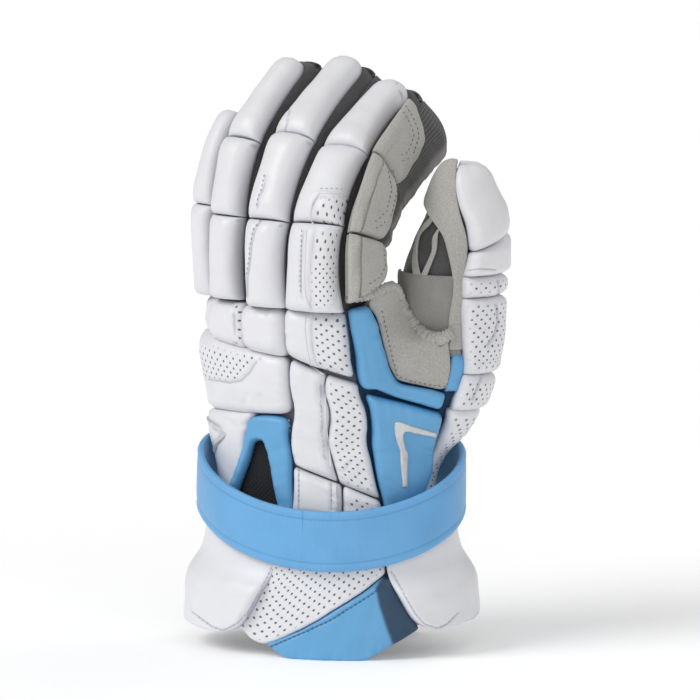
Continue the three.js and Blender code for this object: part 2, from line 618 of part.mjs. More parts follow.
for (const [name, spec] of Object.entries(CUFF_PANELS)) {
  const [across, along] = CUFF_GRID[name];
  add(name, panel('cuff', table(CUFF_COLUMNS, spec.rows), across, along, spec.thick, 0, 0, true), CUFF_LOOKS[name] ?? WHITE);
}

// Finger rolls
const ROLL_POWER = 0.8;
const ROLL_EDGE = 1.8;
const ROLL_GAP = 0.5;
for (const roll of ROLLS) {
  const finger = fingerNamed(roll.finger);
  const from = (finger[roll.from] ?? roll.from) + ROLL_GAP / 2;
  const to = (finger[roll.to] ?? roll.to) - ROLL_GAP / 2;
  const tip = roll.to === 'tip';
  const outline = (a, b) => {
    const middle = (roll.left0 + roll.right0) / 2 * (1 - b) + (roll.left1 + roll.right1) / 2 * b;
    let half = (roll.right0 - roll.left0) / 2 * (1 - b) + (roll.right1 - roll.left1) / 2 * b;
    if (tip) half *= 1 - 0.25 * Math.max(0, (b - 0.8) / 0.2) ** 2 + 0.12 * Math.sin(Math.PI * b);
    const turn = (a - 0.5) * Math.PI;
    const share = Math.sign(Math.sin(turn)) * Math.abs(Math.sin(turn)) ** ROLL_POWER;
    return { x: middle + half * share, arch: Math.abs(Math.cos(turn)) ** ROLL_POWER };
  };
  const height = (b) => (roll.crown - roll.base - ROLL_EDGE) * (0.72 + 0.28 * puff(b)) * (tip && b > 0.95 ? 0.75 : 1);
  const outer = (a, b) => {
    const { x, arch } = outline(a, b);
    return onFinger(finger, x, roll.base + ROLL_EDGE + height(b) * arch, from + (to - from) * b);
  };
  const inner = (a, b) => onFinger(finger, outline(a, b).x * 0.97, roll.base, from + (to - from) * b);
  const across = [0, 0.14, 0.32, 0.5, 0.68, 0.86, 1];
  add(`${roll.finger}_pad_${roll.part}`, slab(outer, inner, across, nodes(tip ? 4 : 3)), WHITE);
}

// Suede side pads of the index finger, scalloped on the palm edge
const SCALLOP = 9;
for (const side of GUSSETS) {
  const finger = fingerNamed('index');
  const at = (a, b, inside) => {
    const rib = ribAt(GUSSET, a);
    const scale = side.scale0 + (side.scale1 - side.scale0) * b;
    const drop = Math.max(0, (a - 0.5) / 0.5) * SCALLOP * Math.abs(2 * b - 1) ** 3;
    const slant = side.part === 'base' ? (1 - b) * 8 * (0.5 - a) : 0;
    const pull = 0.35 * (1 - puff(b));
    const x = inside ? rib.inX : rib.outX + (rib.inX - rib.outX) * pull;
    const y = (inside ? rib.inY : rib.outY) + drop;
    return onFinger(finger, x * scale, y * (a < 0.3 ? 1 : scale), side.from + (side.to - side.from) * b - slant);
  };
  add(`index_gusset_${side.part}`, slab((a, b) => at(a, b, false), (a, b) => at(a, b, true), [0, 0.2, 0.4, 0.6, 0.8, 1], nodes(2)), SUEDE);
}

// Wrist strap ring
const STRAP_STATIONS = 28;
const strapRings = [];
for (let i = 0; i < STRAP_STATIONS; i += 1) {
  const q = (360 * i) / STRAP_STATIONS;
  const front = Math.cos(THREE.MathUtils.degToRad(q - STRAP_LOW));
  const middle = STRAP_MIDDLE - STRAP_DIP * front - STRAP_EXTRA * Math.abs(front) ** 1.5;
  strapRings.push(STRAP_SECTION.map((p) => CHARTS.cuff(q, middle, STRAP_BASE + STRAP_THICK * p.out)
    .add(new THREE.Vector3(0, 0, STRAP_HALF * p.up))));
}
const ringSolid = (sections) => {
  const count = sections[0].length;
  const points = sections.flat();
  const faces = [];
  for (let j = 0; j < sections.length; j += 1) {
    const k = (j + 1) % sections.length;
    for (let i = 0; i < count; i += 1) {
      const n = (i + 1) % count;
      faces.push([j * count + i, k * count + i, k * count + n], [j * count + i, k * count + n, j * count + n]);
    }
  }
  return closedMesh(points, faces);
};
add('wrist_strap', ringSolid(strapRings), BLUE);

// Binding round the index base and the thumb web
const bindingPath = new THREE.CatmullRomCurve3(BINDING.map((p) => new THREE.Vector3(p.x, p.y, p.z)));
const bindingShape = new THREE.Shape();
bindingShape.absarc(0, 0, BINDING_RADIUS, 0, 2 * Math.PI, false);
add('web_binding', new THREE.ExtrudeGeometry(bindingShape, {
  steps: 16, curveSegments: 4, bevelEnabled: false, extrudePath: bindingPath,
}), SUEDE);

// Sleeve of the hand, stalls of the fingers and the thumb: hollow shells cut from one another
const HAND_POINTS = 20;
const handLoft = (out, levels) => loft(levels.map((z) => {
  const ring = handRing(z);
  const total = ring[RING_STEPS].q - ring[0].q;
  const list = [];
  for (let i = 0; i < HAND_POINTS; i += 1) {
    const q = ring[0].q + (total * i) / HAND_POINTS;
    list.push(out === 0 ? handFlat(q, z) : handOut(ring, q, z, out));
  }
  return list;
}));
const handOut = (ring, q, z, out) => {
  let i = 0;
  while (i < ring.length - 2 && ring[i + 1].q <= q) i += 1;
  const t = (q - ring[i].q) / Math.max(1e-9, ring[i + 1].q - ring[i].q);
  const nx = ring[i].nx + (ring[i + 1].nx - ring[i].nx) * t;
  const ny = ring[i].ny + (ring[i + 1].ny - ring[i].ny) * t;
  return handFlat(q, z).add(new THREE.Vector3(nx * out, ny * out, 0));
};
const HAND_LEVELS = [HAND_HEM, 70, 90, 102, 115, 127, 140, 159, 164, 168, 172, 178, HAND_TOP];
const handBody = solid(handLoft(0, HAND_LEVELS));
const handInside = solid(handLoft(-SHELL, [HAND_HEM - 6, 70, 115, 140, 159, 170, HAND_TOP - SHELL]));
const handKeep = solid(handLoft(GAP, HAND_LEVELS));

const STALL_CLOSE = 14;
const LEDGE = -15;
const TIP_LEDGE = 9;
const stallSection = (finger, s, wall, end) => {
  const grown = Math.min(1, Math.max(0, (s - finger.joint2 + 32) / 32));
  const near = Math.max(0, s - end + STALL_CLOSE) / STALL_CLOSE;
  const close = Math.sqrt(1 - 0.8 * near ** 2);
  const narrow = 1 - 0.16 * Math.max(0, (s - finger.joint3) / (finger.tip - finger.joint3));
  const high = finger.back - (1 - close) * 12 - wall;
  const deep = finger.palm - finger.deep * grown + (1 - close) * 16 + wall;
  const half = finger.half * narrow * close - wall;
  const swell = finger.swell * grown * close;
  const ledge = (near > 0.05 ? TIP_LEDGE : LEDGE) - wall;
  const list = [
    [0.95 * half, high - 7], [0.6 * half, high], [-0.6 * half, high], [-0.95 * half, high - 7], [-half, -5],
    [-0.85 * half, deep + 6], [-0.35 * half, deep], [0.4 * half + 0.8 * swell, deep], [0.9 * half + swell, deep + 6],
  ];
  if (finger.name === 'index') list.push([0.93 * half + swell, ledge], [0.93 * half, ledge + 1.2]);
  return list.map(([x, y]) => onFinger(finger, x, y, s));
};
const stallLoft = (finger, wall, from, to) => {
  const list = [from, finger.joint2 - BEND_BEFORE, finger.joint2 - 1, finger.joint2 + BEND_AFTER,
    finger.joint3 - TIP_BEND, finger.joint3 + TIP_BEND, to - 15.5, to - 12, to - 5, to];
  return loft(list.filter((s, i) => i === 0 || s > list[i - 1] + 2).map((s) => stallSection(finger, s, wall, to)));
};
const stallThroat = (finger) => loft([30, 46].map((s) => stallSection(finger, s, SHELL, finger.end)));
const LOW_BOX = block([400, 400, 200], [0, 0, STALL_BOTTOM - 100]);
let handHollow = handInside;
for (const finger of FINGERS) {
  const outside = solid(stallLoft(finger, 0, 36, finger.end));
  const inside = solid(stallLoft(finger, SHELL, 33, finger.end - 3));
  const throat = solid(stallThroat(finger));
  add(`${finger.name}_stall`, shape(outside.subtract(inside).subtract(LOW_BOX)), MESH);
  handHollow = handHollow.add(throat);
}
const THUMB_POINTS = 12;
const thumbLoft = (wall, levels) => loft(levels.map((z) => {
  const r = track(THUMB, 'z', z);
  const ring = [];
  for (let i = 0; i < THUMB_POINTS; i += 1) {
    const turn = (2 * Math.PI * i) / THUMB_POINTS;
    const across = r.across + Math.max(1, r.depth - wall) * Math.cos(turn);
    const out = r.out + Math.max(1, r.width - wall) * Math.sin(turn);
    ring.push(new THREE.Vector3(
      across * Math.cos(SIDE_TURN) + out * Math.sin(SIDE_TURN),
      across * Math.sin(SIDE_TURN) - out * Math.cos(SIDE_TURN),
      z,
    ));
  }
  return ring;
}));
const thumbInside = solid(thumbLoft(SHELL, [150, 160, 172, 204, 222, 240, 252, 259]));
const thumbOutside = solid(thumbLoft(0, [161, 172, 204, 222, 240, 252, 259, 262]));
add('thumb_stall', shape(thumbOutside.subtract(thumbInside).subtract(handKeep)), MESH);
handHollow = handHollow.add(thumbInside);

const shell = handBody.subtract(handHollow);
const SPLIT_A = new THREE.Vector2(-76, -5);
const SPLIT_B = new THREE.Vector2(60, 8);
const splitTurn = Math.atan2(SPLIT_B.y - SPLIT_A.y, SPLIT_B.x - SPLIT_A.x);
const half = (side) => {
  const middle = SPLIT_A.clone().add(SPLIT_B).divideScalar(2);
  const shift = side * (200 + GAP / 2);
  return block([600, 400, 600], [middle.x - Math.sin(splitTurn) * shift, middle.y + Math.cos(splitTurn) * shift, 100], splitTurn);
};
const largest = (body) => body.decompose().sort((a, b) => b.volume() - a.volume())[0];
add('back_liner', shape(largest(shell.intersect(half(-1)))), DEEP_BLUE);
add('palm_leather', shape(largest(shell.intersect(half(1)))), SUEDE);

// The origin is under the middle of the glove, on the floor
const box = new THREE.Box3().setFromObject(group);
group.position.set(-(box.min.x + box.max.x) / 2, -(box.min.y + box.max.y) / 2, -box.min.z);
group.updateMatrixWorld(true);

export default group;
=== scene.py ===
"""Padded lacrosse glove: its leather, mesh, suede, stitching and studio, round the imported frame."""

import functools
import math

import bmesh
import bpy
import numpy as np
from mathutils import Matrix, Vector
from mathutils.bvhtree import BVHTree


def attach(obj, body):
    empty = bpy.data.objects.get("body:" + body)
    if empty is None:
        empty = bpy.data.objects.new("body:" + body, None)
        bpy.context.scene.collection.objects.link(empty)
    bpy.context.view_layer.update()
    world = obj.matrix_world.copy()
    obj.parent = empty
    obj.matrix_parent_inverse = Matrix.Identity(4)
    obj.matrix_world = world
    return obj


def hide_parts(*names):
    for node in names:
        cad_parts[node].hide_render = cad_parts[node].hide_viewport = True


bl_info = {
    "name": "Padded Lacrosse Glove",
    "version": (1, 0, 0),
    "blender": (4, 5, 0),
    "location": "3D View > Sidebar > Glove",
    "description": "Builds a stitched lacrosse glove from pads, finger stalls, cuff flaps and a wrist strap",
    "category": "Object",
}

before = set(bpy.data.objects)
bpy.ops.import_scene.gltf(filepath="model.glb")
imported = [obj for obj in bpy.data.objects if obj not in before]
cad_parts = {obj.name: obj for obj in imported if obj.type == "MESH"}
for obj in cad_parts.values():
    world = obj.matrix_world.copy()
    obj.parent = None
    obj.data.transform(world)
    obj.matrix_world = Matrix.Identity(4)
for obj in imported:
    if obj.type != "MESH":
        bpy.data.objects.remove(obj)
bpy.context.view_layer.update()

# Millimetres, in the glove's own drawing frame: +Z to the fingertips, the back of the hand towards -Y
OFFSET = np.array([-1.96597, -1.37954, -7.2])
FLOOR = 7.2
HAND_TOP = 190.2
HAND_HEM = 27.0
FINGER_ROOT = 150.0
SHELL = 2.0
CLEAR = 1.0
SIDE_TURN = math.radians(38)
CUFF_TURN = math.radians(22)
CUFF_CENTRE = (-2.0, 1.5)
STRAP_MIDDLE = 95.5
STRAP_DIP = 18.0
STRAP_EXTRA = 8.0
STRAP_LOW = 10.0
STRAP_HALF = 16.0

# The front view that marks are drawn on: turned 38 degrees to the thumb side and 8 degrees up, 0.53 mm a unit
VIEW_TURN = math.radians(38)
VIEW_RISE = math.radians(8)
VIEW_UNIT = 0.53
VIEW_ZERO = (333.0, 657.0)
VIEW_SIZE = 700.0
VIEW_RIGHT = np.array([math.cos(VIEW_TURN), math.sin(VIEW_TURN), 0.0])
VIEW_UP = np.array([
    -math.sin(VIEW_TURN) * math.sin(VIEW_RISE),
    math.cos(VIEW_TURN) * math.sin(VIEW_RISE),
    math.cos(VIEW_RISE),
])
VIEW_BACK = np.array([
    math.sin(VIEW_TURN) * math.cos(VIEW_RISE),
    -math.cos(VIEW_TURN) * math.cos(VIEW_RISE),
    math.sin(VIEW_RISE),
])

# Hand sleeve at each level: z, palm ellipse centre x y, half axes, turn, thumb circle centre x y, radius
HAND = np.array([
    [26, -2, 0, 57, 36, 20, 16, 10, 32],
    [40, -2, 0, 57, 36, 20, 16, 10, 32],
    [70, -3, 0, 57, 33, 22, 20, 12, 30],
    [90, -3.5, 0, 56.5, 30, 22, 22, 14, 26],
    [115, -12, -1, 53, 28, 12, 34, 26, 15.5],
    [140, -18, -5, 48, 25, 0, 47, 31, 17],
    [160, -19.5, -7, 50, 24.5, 0, 52, 35, 16],
    [168, -18.5, -6.5, 50.5, 24.5, 0, 36, 18, 16],
    [176, -17, -6, 51, 24.5, 0, 24, 4, 17],
    [190, -15, -6, 51.5, 24.5, 0, 16, -4, 17.5],
    [204, -15, -6, 51.5, 24.5, 0, 12, -6, 17],
], float)

# Thumb at each level: z, across, out, half depth, half width
THUMB = np.array([
    [80, 25.9, 2.5, 28, 28],
    [90, 25.9, 2.5, 26, 26],
    [115, 42.8, 0.5, 15.5, 15.5],
    [140, 56.1, 4.5, 17, 17],
    [160, 62.5, 4.4, 16, 16],
    [172, 61.0, 4.8, 19.5, 16.5],
    [190, 59.2, 5, 22.3, 16.5],
    [204, 59.2, 5, 22.8, 16.5],
    [222, 62.3, 5, 20.0, 15.5],
    [240, 65.5, 5, 15.5, 14],
    [252, 67.0, 5, 12.0, 11.5],
    [259, 67.5, 5, 7.5, 7.5],
    [262, 67.5, 5, 2.0, 2.0],
], float)

# Cuff oval at each level: z, long and short half axes
CUFF = np.array([[0, 71, 50], [30, 70.5, 49.5], [60, 66.5, 47], [88, 63.5, 44], [120, 62.3, 42]], float)

FINGER_KEYS = (
    "root_x root_y turn lean half palm back swell deep bend0 bend1 bend2 joint1 joint2 joint3 tip end"
).split()
FINGERS = {
    name: dict(zip(FINGER_KEYS, row))
    for name, row in {
        "index": (12.5, -14, 7, 3, 12.2, -20, 14, 9.5, 6, -4.4, 36.7, 60.7, 41.2, 79.8, 114, 169, 173),
        "middle": (-13.4, -19, 0, -1, 11.6, -18, 14, 1.5, 3, -2.3, 27.7, 54.7, 40.7, 81, 119.4, 176.5, 176),
        "ring": (-42.3, -14.5, -8, -1, 10.3, -16, 12.9, 2, 3, -1.5, 13.6, 45.2, 41.5, 83.1, 117.1, 166.6, 167),
        "little": (-61.8, -5.4, -18, -2, 8.8, -13, 9.2, 0, 0, -5.1, 16.3, 30.9, 41.5, 87.2, 115.6, 134, 133),
    }.items()
}

# Finger rolls: finger, part, where it starts and ends, left and right reach at both ends, underside, crown
ROLLS = (
    ("index", "base", "joint1", "joint2", -16.6, 16, -14.2, 14.2, 14.6, 28),
    ("index", "middle", "joint2", "joint3", -14.2, 14.4, -12.6, 13, 14.6, 28),
    ("index", "tip", "joint3", "tip", -12.6, 13, -10, 9.5, 14.4, 27),
    ("middle", "base", "joint1", "joint2", -11.8, 11.2, -12, 11.8, 14.6, 27.5),
    ("middle", "middle", "joint2", "joint3", -12, 12, -12.3, 12.3, 14.6, 28),
    ("middle", "tip", "joint3", "tip", -12.3, 12.3, -9.3, 9.3, 14.4, 26.5),
    ("ring", "base", "joint1", "joint2", -10.4, 10, -10.6, 10.6, 13.5, 25.5),
    ("ring", "middle", "joint2", "joint3", -10.7, 10.7, -10.8, 10.8, 13.5, 26),
    ("ring", "tip", "joint3", "tip", -10.8, 10.8, -8.3, 8.3, 13.3, 24.5),
    ("little", "base", "joint1", "joint2", -9, 8.6, -8.4, 8.2, 9.6, 19.5),
    ("little", "tip", "joint2", "tip", -8.6, 8.4, -6.8, 6.8, 9.6, 19.5),
)

# Suede side pads of the index finger, from the back to the palm: outer x y, inner x y
GUSSET = np.array([
    [18.4, 22, 16.6, 19.4],
    [22.0, 18.5, 16.6, 14.2],
    [23.5, 11, 12.2, 10],
    [23.5, 1, 12.2, 1],
    [21.6, -8, 12.2, -7],
    [17, -13.4, 12.4, -11.5],
])
GUSSETS = (("base", 51, 77.4, 1.28, 1.25), ("middle", 78.2, 113.2, 1.25, 1.12), ("tip", 114, 156, 1.08, 0.88))
SCALLOP = 9.0

# Pads on a chart: finish, thickness, lift, roll of the edge, corner radius, and ribs from one end to the other.
# A rib is left q, left z, right q, right z, share of the thickness
HAND_PADS = {
    "index_knuckle_pad": ("white", 11, 0, 6, 3, [
        [11.4, 189.6, 40.9, 189.6], [13.5, 176.5, 45.4, 171.3], [16.8, 165.4, 49.1, 155.3],
    ]),
    "middle_knuckle_pad": ("white", 11.5, 0, 6, 4, [
        [-15.2, 189.6, 9.9, 189.6], [-12.6, 176.8, 12.1, 176.3], [-8.5, 166.3, 15.3, 164.4],
    ]),
    "ring_knuckle_pad": ("white", 10, 0, 6, 4, [
        [-42.5, 189.6, -16.6, 189.6], [-41, 177.3, -14, 177.7], [-37.4, 169, -9.9, 166.5],
    ]),
    "little_knuckle_pad": ("white", 7, 0, 5, 3, [
        [-61, 189.6, -44, 189.6], [-60.5, 181, -42.6, 179], [-60.5, 174, -39, 170],
    ]),
    "ulnar_back_pad": ("white", 8, 0, 5, 4, [
        [-60, 171.5, 15.4, 162.8], [-59.5, 157, 15.2, 153.5], [-58, 143, 14.6, 143.8],
        [-55, 129.2, 14, 134.9],
    ]),
    "ulnar_wrist_pad": ("white", 7, 0, 4, 3, [
        [-52, 128, -7.1, 132.4, 1], [-43, 120, -7, 122.2, 0.9], [-35, 108, -6, 109, 0.5],
        [-34, 97, -9.3, 97.6, 0.3], [-34, 82, -15, 83, 0.3],
    ]),
    "centre_pad_upper": ("white", 8, 0, 4, 2, [
        [18.3, 162, 35.2, 155.8], [17.6, 147, 33.4, 145.3], [19.4, 128, 37, 126.3], [25.4, 111, 44.6, 109.7],
        [28.1, 106.6, 49.2, 99.2],
    ]),
    "centre_pad_lower": ("white", 8, 0, 4, 2, [
        [26.6, 104.9, 50.7, 96.6], [27.6, 95.9, 51, 89.3], [26.8, 86, 50.6, 83.2], [26, 80.5, 50.3, 79.4],
    ]),
    "perforated_pad_upper": ("holes", 6.5, 0, 3.5, 2, [
        [36.9, 155.1, 50.1, 150.7], [35, 145.1, 50.8, 142], [38.8, 126.2, 56.2, 125.5],
        [46.4, 109.5, 64.4, 108.4], [51.4, 98.2, 70.2, 90.7],
    ]),
    "perforated_pad_lower": ("holes", 6.5, 0, 3.5, 2, [
        [52.8, 96, 70.1, 88.4], [52.7, 87.2, 70.6, 83.3], [52.1, 80.1, 70.3, 78.8],
    ]),
    "thumb_web_pad": ("blue", 8, 0, 3, 2, [
        [43.4, 190.2, 51.4, 192], [45.8, 181, 56.8, 183], [50.7, 164.3, 64.9, 166.2],
        [53.1, 150.4, 69.1, 155.6], [60.2, 148.5, 72.6, 150.8], [70, 144, 81.3, 148.3],
        [81.2, 140.7, 88.7, 146.6], [93.1, 138.4, 96.3, 144.8],
    ]),
    "wrist_pad": ("blue", 8, 0.4, 3, 3, [
        [54.1, 145.1, 93, 134.5, 1], [57.6, 131.3, 94.2, 125.3, 1], [66.8, 109.6, 97, 104, 1],
        [73, 88, 91.7, 89, 0.7], [72.7, 79.3, 90.8, 80.1, 0.5],
    ]),
    "suede_patch": ("suede", 2.2, 0.6, 1.2, 3, [
        [53.2, 193.2, 60.6, 196], [57.4, 187.9, 66, 190.8], [61.8, 178.5, 73, 181.4],
        [67.1, 166.1, 79.5, 172.9], [70.9, 157, 87, 166.6], [74, 152.7, 96.5, 163.4],
        [84.9, 149.9, 100.6, 159.5], [97.2, 147.2, 100, 153],
    ]),
    "web_strip": ("blue", 3.4, -0.4, 1.4, 0.5, [
        [101.8, 164, 108.5, 166], [101.4, 159, 108, 160], [99.6, 152.6, 105.6, 153.4],
        [96.6, 146.4, 102.4, 146.6],
    ]),
    "thumb_wrist_pad": ("holes", 6.5, 0, 3, 2, [
        [96.5, 136.6, 128, 136.6, 1], [98, 124.2, 120, 124.2, 1], [100, 112, 114, 112, 0.55],
        [98.4, 100, 112, 100, 0.3], [95.8, 88.2, 114, 88.2, 0.3],
    ]),
    "corner_trim": ("silver", 1.5, 10, 0.9, 0.4, [
        [93, 125.3, 92, 127.7], [81.4, 126.8, 80, 130.1], [74.7, 126.5, 68.6, 131.7],
        [78.7, 115, 74.2, 116.8], [82, 102.2, 79.2, 102.5, 0.97], [83.2, 95, 80.9, 95.2, 0.86],
    ]),
    "chevron_trim": ("silver", 1.5, 8.2, 0.9, 0.4, [
        [-46.5, 121.6, -43.5, 124.6], [-23.5, 118.3, -18.5, 119.4, 0.97], [-29.5, 112.5, -25, 111.5, 0.8],
        [-31.5, 108.5, -28, 107.5, 0.66],
    ]),
    "vent_frame": ("blue", 5.4, 1.8, 2.2, 0.6, [
        [-13.7, 83.8, -11, 83.6], [-9.2, 92.6, -6.4, 92], [-4.4, 107.7, -1.4, 105.4], [-5, 121.4, -0.4, 115],
        [-4.6, 130, 1.8, 118], [12.4, 131, 6.3, 118.2], [17.9, 121.5, 9.1, 114.9], [23.7, 108.3, 14.3, 104],
        [25.6, 88.1, 18.4, 86.9], [24.6, 80, 18, 80.3],
    ]),
    "vent_mesh": ("vent", 1.1, 0, 0.5, 0.5, [
        [-2.6, 120.7, 7.6, 120.8], [-3, 112.3, 12.5, 112.2], [-4, 104.2, 17.2, 104], [-9, 89.6, 20.7, 88.5],
        [-12.5, 84, 20.6, 83],
    ]),
}
THUMB_PADS = {
    "thumb_cap": ("white", 10.5, 0, 5, 4, [
        [108, 260.6, -100, 260.6, 0.5], [99, 251, -100, 254, 0.56], [89, 243, -100, 251, 0.7],
        [75, 234, -100, 247, 0.92], [67, 224, -98, 243], [65.5, 219, -96, 239.5],
    ]),
    "thumb_pad_middle": ("white", 10.5, 0, 4.5, 2, [
        [65.5, 218.2, -95, 238.6], [67, 212, -93, 222], [69.5, 206.8, -90, 206.8],
    ]),
    "thumb_pad_perforated_1": ("holes", 9, 0, 4, 1.5, [[70, 206, -90, 206], [70, 195.4, -88, 195.4]]),
    "thumb_pad_perforated_2": ("holes", 9, 0, 4, 1.5, [
        [70, 194.6, -86, 194.6], [71, 184, -80, 184], [72, 171, -66, 171], [71, 163, -60, 163],
        [71, 155.2, -60, 155.2],
    ]),
    "thumb_pad_perforated_3": ("holes", 8, 0, 4, 1.5, [
        [71, 154.4, -60, 154.4], [71, 146, -60, 146], [70, 137.4, -60, 137.4],
    ]),
    "thumb_edge_strip": ("suede", 2.2, 0.6, 1.2, 1, [
        [196, 258.5, 106, 260], [194, 252, 101, 253.5], [184, 244, 94, 245.5], [146, 238, 82, 236],
        [110, 229, 71, 226.5], [92, 217, 67, 217], [82, 206, 66.5, 206], [82, 196, 67, 196],
        [88, 182, 70, 182], [92, 168, 72, 168],
    ]),
    # The patch inside the thumb takes the palm suede, darker as painted shade
    "thumb_palm_patch": ("palm", 1.3, 0, 0.6, 1, [
        [189, 207.5, 78, 206.5], [190, 192, 76, 192], [190, 178, 74, 178], [186, 164, 74, 164],
    ]),
    "thumb_fork_strip": ("suede", 1.1, 0, 0.5, 0.5, [
        [134.5, 242.5, 127.5, 239.5], [142.5, 235.5, 135.5, 232.5], [156, 225, 148.5, 225],
        [132, 204.5, 126, 208.5], [117, 204.5, 122, 208.5], [110.5, 218.6, 117.5, 218.6],
        [114.5, 229, 121.5, 227], [104, 232.5, 108, 238],
    ]),
}
# Cuff ribs: left t, left z, right t, right z, level above the cuff oval, share of the thickness
CUFF_PADS = {
    "front_flap": ("holes", 4.4, 0, 2, 1, [
        [-11.6, 64, -34, 24, -2], [-8, 64, -20.2, 14.4, -2], [2, 64, -1.7, 23.6, -2], [13, 64, 13, 34.7, -2],
        [24, 64, 25.8, 44.4, -2, 0.9], [36.4, 64, 36.8, 53.4, -2, 0.7],
    ]),
    "front_corner_panel": ("blue", 4.4, 0, 2, 1, [
        [-18.2, 13.2, -15.5, 11, -2], [-1.6, 22.4, -5, 7.2, -2], [13.2, 33.4, 10, 7.2, -2],
        [26.3, 43, 24, 7.2, -2], [35.2, 50, 36, 14, -2], [41.4, 50, 52.5, 24, -2],
    ]),
    "ulnar_tab": ("white", 6, 0, 3, 6, [
        [-98, 80, -14.5, 60, 0.6, 0.25], [-104, 61, -16, 50, 2.6, 0.15], [-110, 46, -19.4, 41, 3, 1],
        [-112, 31, -25, 29.4, 3, 1], [-100, 22.5, -31, 21.3, 3, 1], [-80, 19, -42, 17.2, 3, 1],
    ]),
    "radial_tab": ("white", 6, 0, 3, 6, [
        [36.8, 60, 116, 80, 0.6, 0.25], [37.8, 50, 120, 63, 2.6, 0.15], [41.6, 40.1, 122, 48, 3, 1],
        [47, 29.6, 118, 36, 3, 1], [53, 24.5, 104, 29, 3, 1], [62, 22, 84, 24, 3, 1],
    ]),
    "palm_flap": ("suede", 4.4, 0, 2, 2, [
        [154, 94, 206, 94, 0, 0.9], [146, 62, 214, 62, -0.6, 0.95], [142, 32, 220, 32, -2],
        [146, 15, 216, 15, -2], [156, 7.2, 206, 7.2, -2],
    ]),
}

# Crinkled binding: the path round the index base, down the web and up beside the thumb
BINDING = np.array([
    [28.6, -26.6, 196.4], [32.2, -23.2, 197], [36.4, -18.6, 198.3], [40.4, -12, 200.6], [41.6, -3, 202],
    [40.9, 3, 198.4], [39.6, 7, 192], [42, 10, 184.6], [47, 11.5, 178.2], [53, 10.5, 175.4], [58, 11, 174.2],
    [62.5, 13.4, 174.6], [66.5, 17, 177.5],
])
BINDING_RADIUS = 3.0

# Grid: cells over a rolled edge, size of the rest; share of a pad's thickness that stands at its edge
EDGE_CELLS = 4
CELL = 1.05
THIN_CELL = 0.9
LEDGE_SHARE = 0.12
THIN_LEDGE_SHARE = 0.45

# Under this a piece is cloth and not a pad; and how far each kind of pad reaches past its chart outline
THIN = 3.0
HAND_SPARE = 0.8
THUMB_SPARE = 0.45
CUFF_SPARE = 0.7
PATCH_SPARE = 1.3

# The suede patch is drawn out along part of the binding's path and down behind it
BINDING_FROM = 0.2
BINDING_TO = 0.97
PATCH_SHARE = 0.66
PATCH_SUNK = 3.4

# Height of the folds in suede, trims and mesh, in millimetres
SUEDE_WRINKLE = 0.12

# Trims lie this far into the pads under them, and rays for that start well above
TRIM_SUNK = 0.35
RAY_START = 30.0

# Thumb stall: levels, and how far the suede side of the tip stands up to meet the cap
THUMB_STALL = (158.0, 258.5)
TIP_RISE = 5.0

STALL_EXTRA = {"index": 0.0, "middle": 6.0, "ring": 5.0, "little": 0.0}
STALL_RISE = {"index": 7.0, "middle": 8.0, "ring": 8.0, "little": 2.0}
STALL_WALL = 0.0016

# Behind the white pads the lining is pale: level, and how far round it stays so
PALE_UNTIL = np.array([
    [60, 71], [90.7, 70.8], [108.4, 65], [125.5, 57], [142, 51.5], [155, 50], [171, 46.3], [190, 42],
])

# The seam between back and palm runs in the plane through these two places
SPLIT_A = np.array([-76.0, -5.0])
SPLIT_B = np.array([60.0, 8.0])
SPLIT_LINE = (SPLIT_B - SPLIT_A) / np.linalg.norm(SPLIT_B - SPLIT_A)

# Share of a sleeve's grid that goes up its side; the rest draws its top edge in over the knuckles
SLEEVE_SIDE = 0.86


# Reading tables and charts
def read_track(rows, at):
    """Smooth reading of a table at many values of its first column, without overshoot."""
    axis = rows[:, 0]
    at = np.clip(at, axis[0], axis[-1])
    i = np.clip(np.searchsorted(axis, at, side="right") - 1, 0, len(axis) - 2)
    step = np.diff(axis)
    rise = np.diff(rows, axis=0) / step[:, None]
    slope = np.zeros_like(rows)
    both = rise[:-1] * rise[1:]
    total = rise[:-1] + rise[1:]
    slope[1:-1] = np.where(both > 0, 2 * both / np.where(total == 0, 1, total), 0)
    t = ((at - axis[i]) / step[i])[:, None]
    span = step[i][:, None]
    near = (2 * t**3 - 3 * t**2 + 1) * rows[i] + (t**3 - 2 * t**2 + t) * span * slope[i]
    far = (-2 * t**3 + 3 * t**2) * rows[i + 1] + (t**3 - t**2) * span * slope[i + 1]
    return near + far


def read_ribs(rows, at):
    """A flowing line through evenly counted rows; at runs from 0 to 1."""
    rows = np.asarray(rows, float)
    ends = np.vstack([2 * rows[0] - rows[1], rows, 2 * rows[-1] - rows[-2]])
    place = np.clip(at, 0, 1) * (len(rows) - 1)
    i = np.clip(np.floor(place).astype(int), 0, len(rows) - 2)
    t = (place - i)[:, None]
    p0, p1, p2, p3 = ends[i], ends[i + 1], ends[i + 2], ends[i + 3]
    bend = (-p0 + p2) * t + (2 * p0 - 5 * p1 + 4 * p2 - p3) * t**2 + (-p0 + 3 * p1 - 3 * p2 + p3) * t**3
    return p1 + 0.5 * bend


